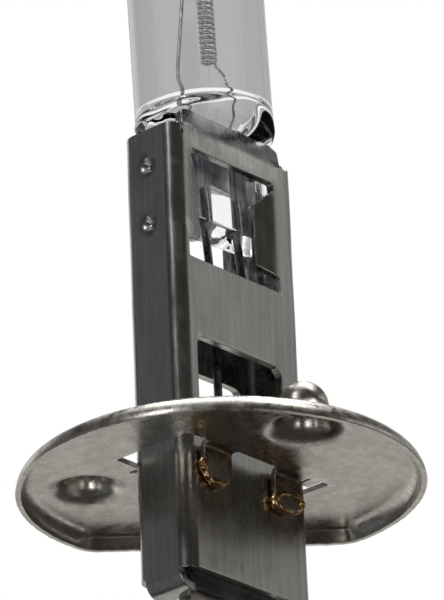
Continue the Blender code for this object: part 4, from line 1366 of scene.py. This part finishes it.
def make_floor(material):
    place = Matrix.Translation((0, 0, FLOOR_LEVEL * MM))
    floor = link("floor", plane_mesh("floor", 2, 3.0), place, material)
    floor.visible_glossy = False


def make_glass_card():
    """A grey card behind the tube that only rays through the glass can see."""
    material = bpy.data.materials.new("grey_card")
    material.use_nodes = True
    tree = material.node_tree
    tree.nodes.clear()
    glow = tree.nodes.new("ShaderNodeEmission")
    glow.inputs["Color"].default_value = (0.42, 0.42, 0.43, 1)
    out = tree.nodes.new("ShaderNodeOutputMaterial")
    tree.links.new(glow.outputs["Emission"], out.inputs["Surface"])
    matrix = (
        Matrix.Translation((-0.002, 0.03, 0.0299))
        @ Matrix.Rotation(CAMERA_TURN, 4, "Z")
        @ Matrix.Rotation(math.pi / 2, 4, "X")
        @ Matrix.Translation((0, 0.5, 0))
    )
    card = link("grey_card", plane_mesh("grey_card", 1, 0.5), matrix, material)
    card.visible_camera = False
    card.visible_diffuse = False
    card.visible_glossy = False
    card.visible_shadow = False


def main():
    sleeve_steel = plated_steel("sleeve_steel", (0.42, 0.415, 0.405), (0.53, 0.525, 0.51), 0.5)
    disc_steel = satin_steel("disc_steel", 1.0)
    tungsten = drawn_wire("tungsten_wire", (0.3, 0.3, 0.3), (0.6, 0.6, 0.6), 0.28)
    molybdenum = drawn_wire("molybdenum_wire", (0.14, 0.14, 0.145), (0.3, 0.3, 0.31), 0.28)
    weld = weld_metal("weld_metal")
    # Near-black finish for the two lead welds.
    near_black_weld = drawn_wire("near_black_lead_weld", (0.03, 0.03, 0.035), (0.1, 0.09, 0.08), 0.45)
    make_sleeve(sleeve_steel)
    make_flange(disc_steel)
    make_flange_welds(weld)
    make_glass(quartz_glass("quartz_glass"))
    make_burner_wires(tungsten, molybdenum)
    make_foils(foil_metal("foil_metal"))
    make_blade(tinned_metal("blade_tin"))
    dress_cad_node("terminal_insulator", ceramic_in_painted_shade("ceramic_in_painted_shade"))
    for end in ("lower", "upper"):
        dress_cad_node(f"filament_joint_{end}", tungsten)
    for side in ("live", "ground"):
        dress_cad_node(f"{side}_lead_weld", near_black_weld)
    make_floor(floor_paper("floor_paper"))
    make_glass_card()
    make_world()
    make_lights()
    make_camera()
    scene = bpy.context.scene
    scene.view_settings.view_transform = "Standard"
    scene.cycles.max_bounces = 24
    scene.cycles.transmission_bounces = 20
    scene.cycles.glossy_bounces = 8


main()
